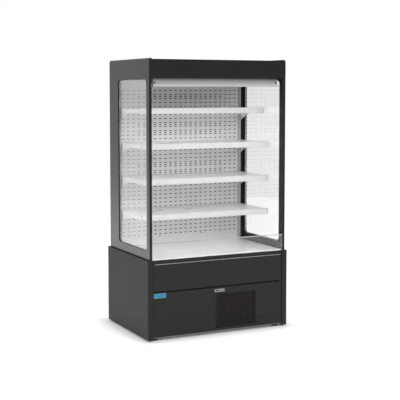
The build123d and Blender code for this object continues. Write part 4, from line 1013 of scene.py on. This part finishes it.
# %% [markdown]
# ## Studio
#
# The photograph is a cut-out look: white all round, with a soft shadow under the cabinet. The world
# is white for the camera and for what glass and gloss mirror, and a plainer grey for lighting. A
# studio is dark behind the camera, so mirrored light from that side is dimmer. Rays through glass
# count as glossy too, so the choice for glossy rays comes first and the one for glass after it.

# %% World
world = bpy.data.worlds.new("studio")
bpy.context.scene.world = world
world.use_nodes = True
tree = world.node_tree
tree.nodes.clear()
direction = tree.nodes.new("ShaderNodeTexCoord")
axes = tree.nodes.new("ShaderNodeSeparateXYZ")
tree.links.new(direction.outputs["Generated"], axes.inputs["Vector"])
behind_level = between(tree, axes.outputs["Z"], -0.15, -0.085, 1.1, 0.36)
front_share = between(tree, axes.outputs["Y"], -0.5, 0.3, 0.15, 1.0)
mirrored_level = combine(tree, "MULTIPLY", behind_level, front_share)
path = tree.nodes.new("ShaderNodeLightPath")


def background(tree, strength):
    """A plain white background whose strength is a number or a pattern."""
    node = tree.nodes.new("ShaderNodeBackground")
    node.inputs["Color"].default_value = (1, 1, 1, 1)
    if isinstance(strength, float):
        node.inputs["Strength"].default_value = strength
    else:
        tree.links.new(strength, node.inputs["Strength"])
    return node.outputs["Background"]


def choose(tree, share, first, second):
    """Picks between two shaders by a 0 or 1 value."""
    mixer = tree.nodes.new("ShaderNodeMixShader")
    tree.links.new(share, mixer.inputs[0])
    tree.links.new(first, mixer.inputs[1])
    tree.links.new(second, mixer.inputs[2])
    return mixer.outputs["Shader"]


lighting_level = 0.79  # a plain grey studio, as the surfaces see it
lighting, mirroring = background(tree, lighting_level), background(tree, mirrored_level)
seen = choose(tree, path.outputs["Is Glossy Ray"], lighting, mirroring)
seen = choose(tree, path.outputs["Is Transmission Ray"], seen, background(tree, 1.0))
seen = choose(tree, path.outputs["Is Camera Ray"], seen, background(tree, 1.0))
world_output = tree.nodes.new("ShaderNodeOutputWorld")
tree.links.new(seen, world_output.inputs["Surface"])
print("the world lights at", lighting_level)

# %% [markdown]
# ## The floor
#
# A pale disc catches the shadow. On its own it would render grey, so it also glows a little for rays
# that come from the camera or through glass, and faintly for mirrored rays. The glow is cut down under
# the cabinet and just around its foot, which paints a darker contact shadow there on top of the shadow
# that the lamps and world cast; that dark band is what makes the cabinet stand and not float.

# %% Floor
floor_radius = 9.0
let_go()
bpy.ops.mesh.primitive_circle_add(vertices=96, radius=floor_radius, fill_type="NGON")
floor = bpy.context.object
floor.name = "floor"
floor_paint, tree, shader = finish("floor_paint", shown(236, 236, 237), 0.7, specular=0.3)
uneven(tree, shader, shown(236, 236, 237), 0.01, 1.5, 0.65, 0.75)
glow = tree.nodes.new("ShaderNodeEmission")
glow.inputs["Color"].default_value = (1, 1, 1, 1)
distance = tree.nodes.new("ShaderNodeVectorMath")
distance.operation = "LENGTH"
tree.links.new(piece_coordinates(tree), distance.inputs[0])
near_glow, far_glow = 0.41, 0.42
glow_level = between(tree, distance.outputs["Value"], 1.2, 3.0, near_glow, far_glow)
path = tree.nodes.new("ShaderNodeLightPath")


def beyond(tree, axis, half):
    """Distance outside a strip of the given half width, across one axis."""
    from_middle = calculate(tree, "ABSOLUTE", along_axis(tree, axis), None)
    return calculate(tree, "SUBTRACT", from_middle, half)


half_width, half_depth = cad_box[1][:2]
outside = combine(tree, "MAXIMUM", beyond(tree, "X", half_width), beyond(tree, "Y", half_depth))
# painted shadow: the glow falls to 0.12 of itself from 2 cm inside the cabinet's footprint and is full
# again 10 cm outside it
painted_shadow_glow_share = between(tree, outside, -0.02, 0.10, 0.12, 1.0)
glow_level = combine(tree, "MULTIPLY", glow_level, painted_shadow_glow_share)
looking = combine(
    tree, "MAXIMUM", path.outputs["Is Camera Ray"], path.outputs["Is Transmission Ray"]
)
mirrored_glow = calculate(tree, "MULTIPLY", path.outputs["Is Glossy Ray"], 0.1)
lift = combine(tree, "ADD", combine(tree, "MULTIPLY", looking, glow_level), mirrored_glow)
tree.links.new(lift, glow.inputs["Strength"])
both = tree.nodes.new("ShaderNodeAddShader")
tree.links.new(shader.outputs["BSDF"], both.inputs[0])
tree.links.new(glow.outputs["Emission"], both.inputs[1])
tree.links.new(both.outputs["Shader"], tree.nodes["Material Output"].inputs["Surface"])
dress(floor, floor_paint)
print("floor radius", floor_radius, "metres")

# %% [markdown]
# ## The lamps
#
# Three large soft lamps: a weak one high on the left, the main one in front on the right, and one
# from the left side, which lights the shelves' ends through the glass. Large lamps have soft shadows.
# None is seen or mirrored itself, so the mirrored look comes from the world alone.


# %% Lamps
def soft_light(name, place, target, size, power):
    """A large square area lamp that points from a place to a target."""
    data = bpy.data.lights.new(name, "AREA")
    data.size = size
    data.energy = power
    lamp = bpy.data.objects.new(name, data)
    lamp.location = place
    lamp.rotation_euler = (Vector(target) - Vector(place)).to_track_quat("-Z", "Y").to_euler()
    lamp.visible_camera = False
    lamp.visible_glossy = False
    bpy.context.scene.collection.objects.link(lamp)
    return lamp


soft_light("key_light", (-1.6, -4.4, 4.0), (0, 0, 0.9), 2.4, 30)
soft_light("fill_light", (1.2, -5.4, 3.7), (0, 0, 1.0), 2.4, 112)
soft_light("side_light", (-5.2, -0.6, 2.4), (0, 0, 1.2), 2.0, 46)
print("three soft lamps")
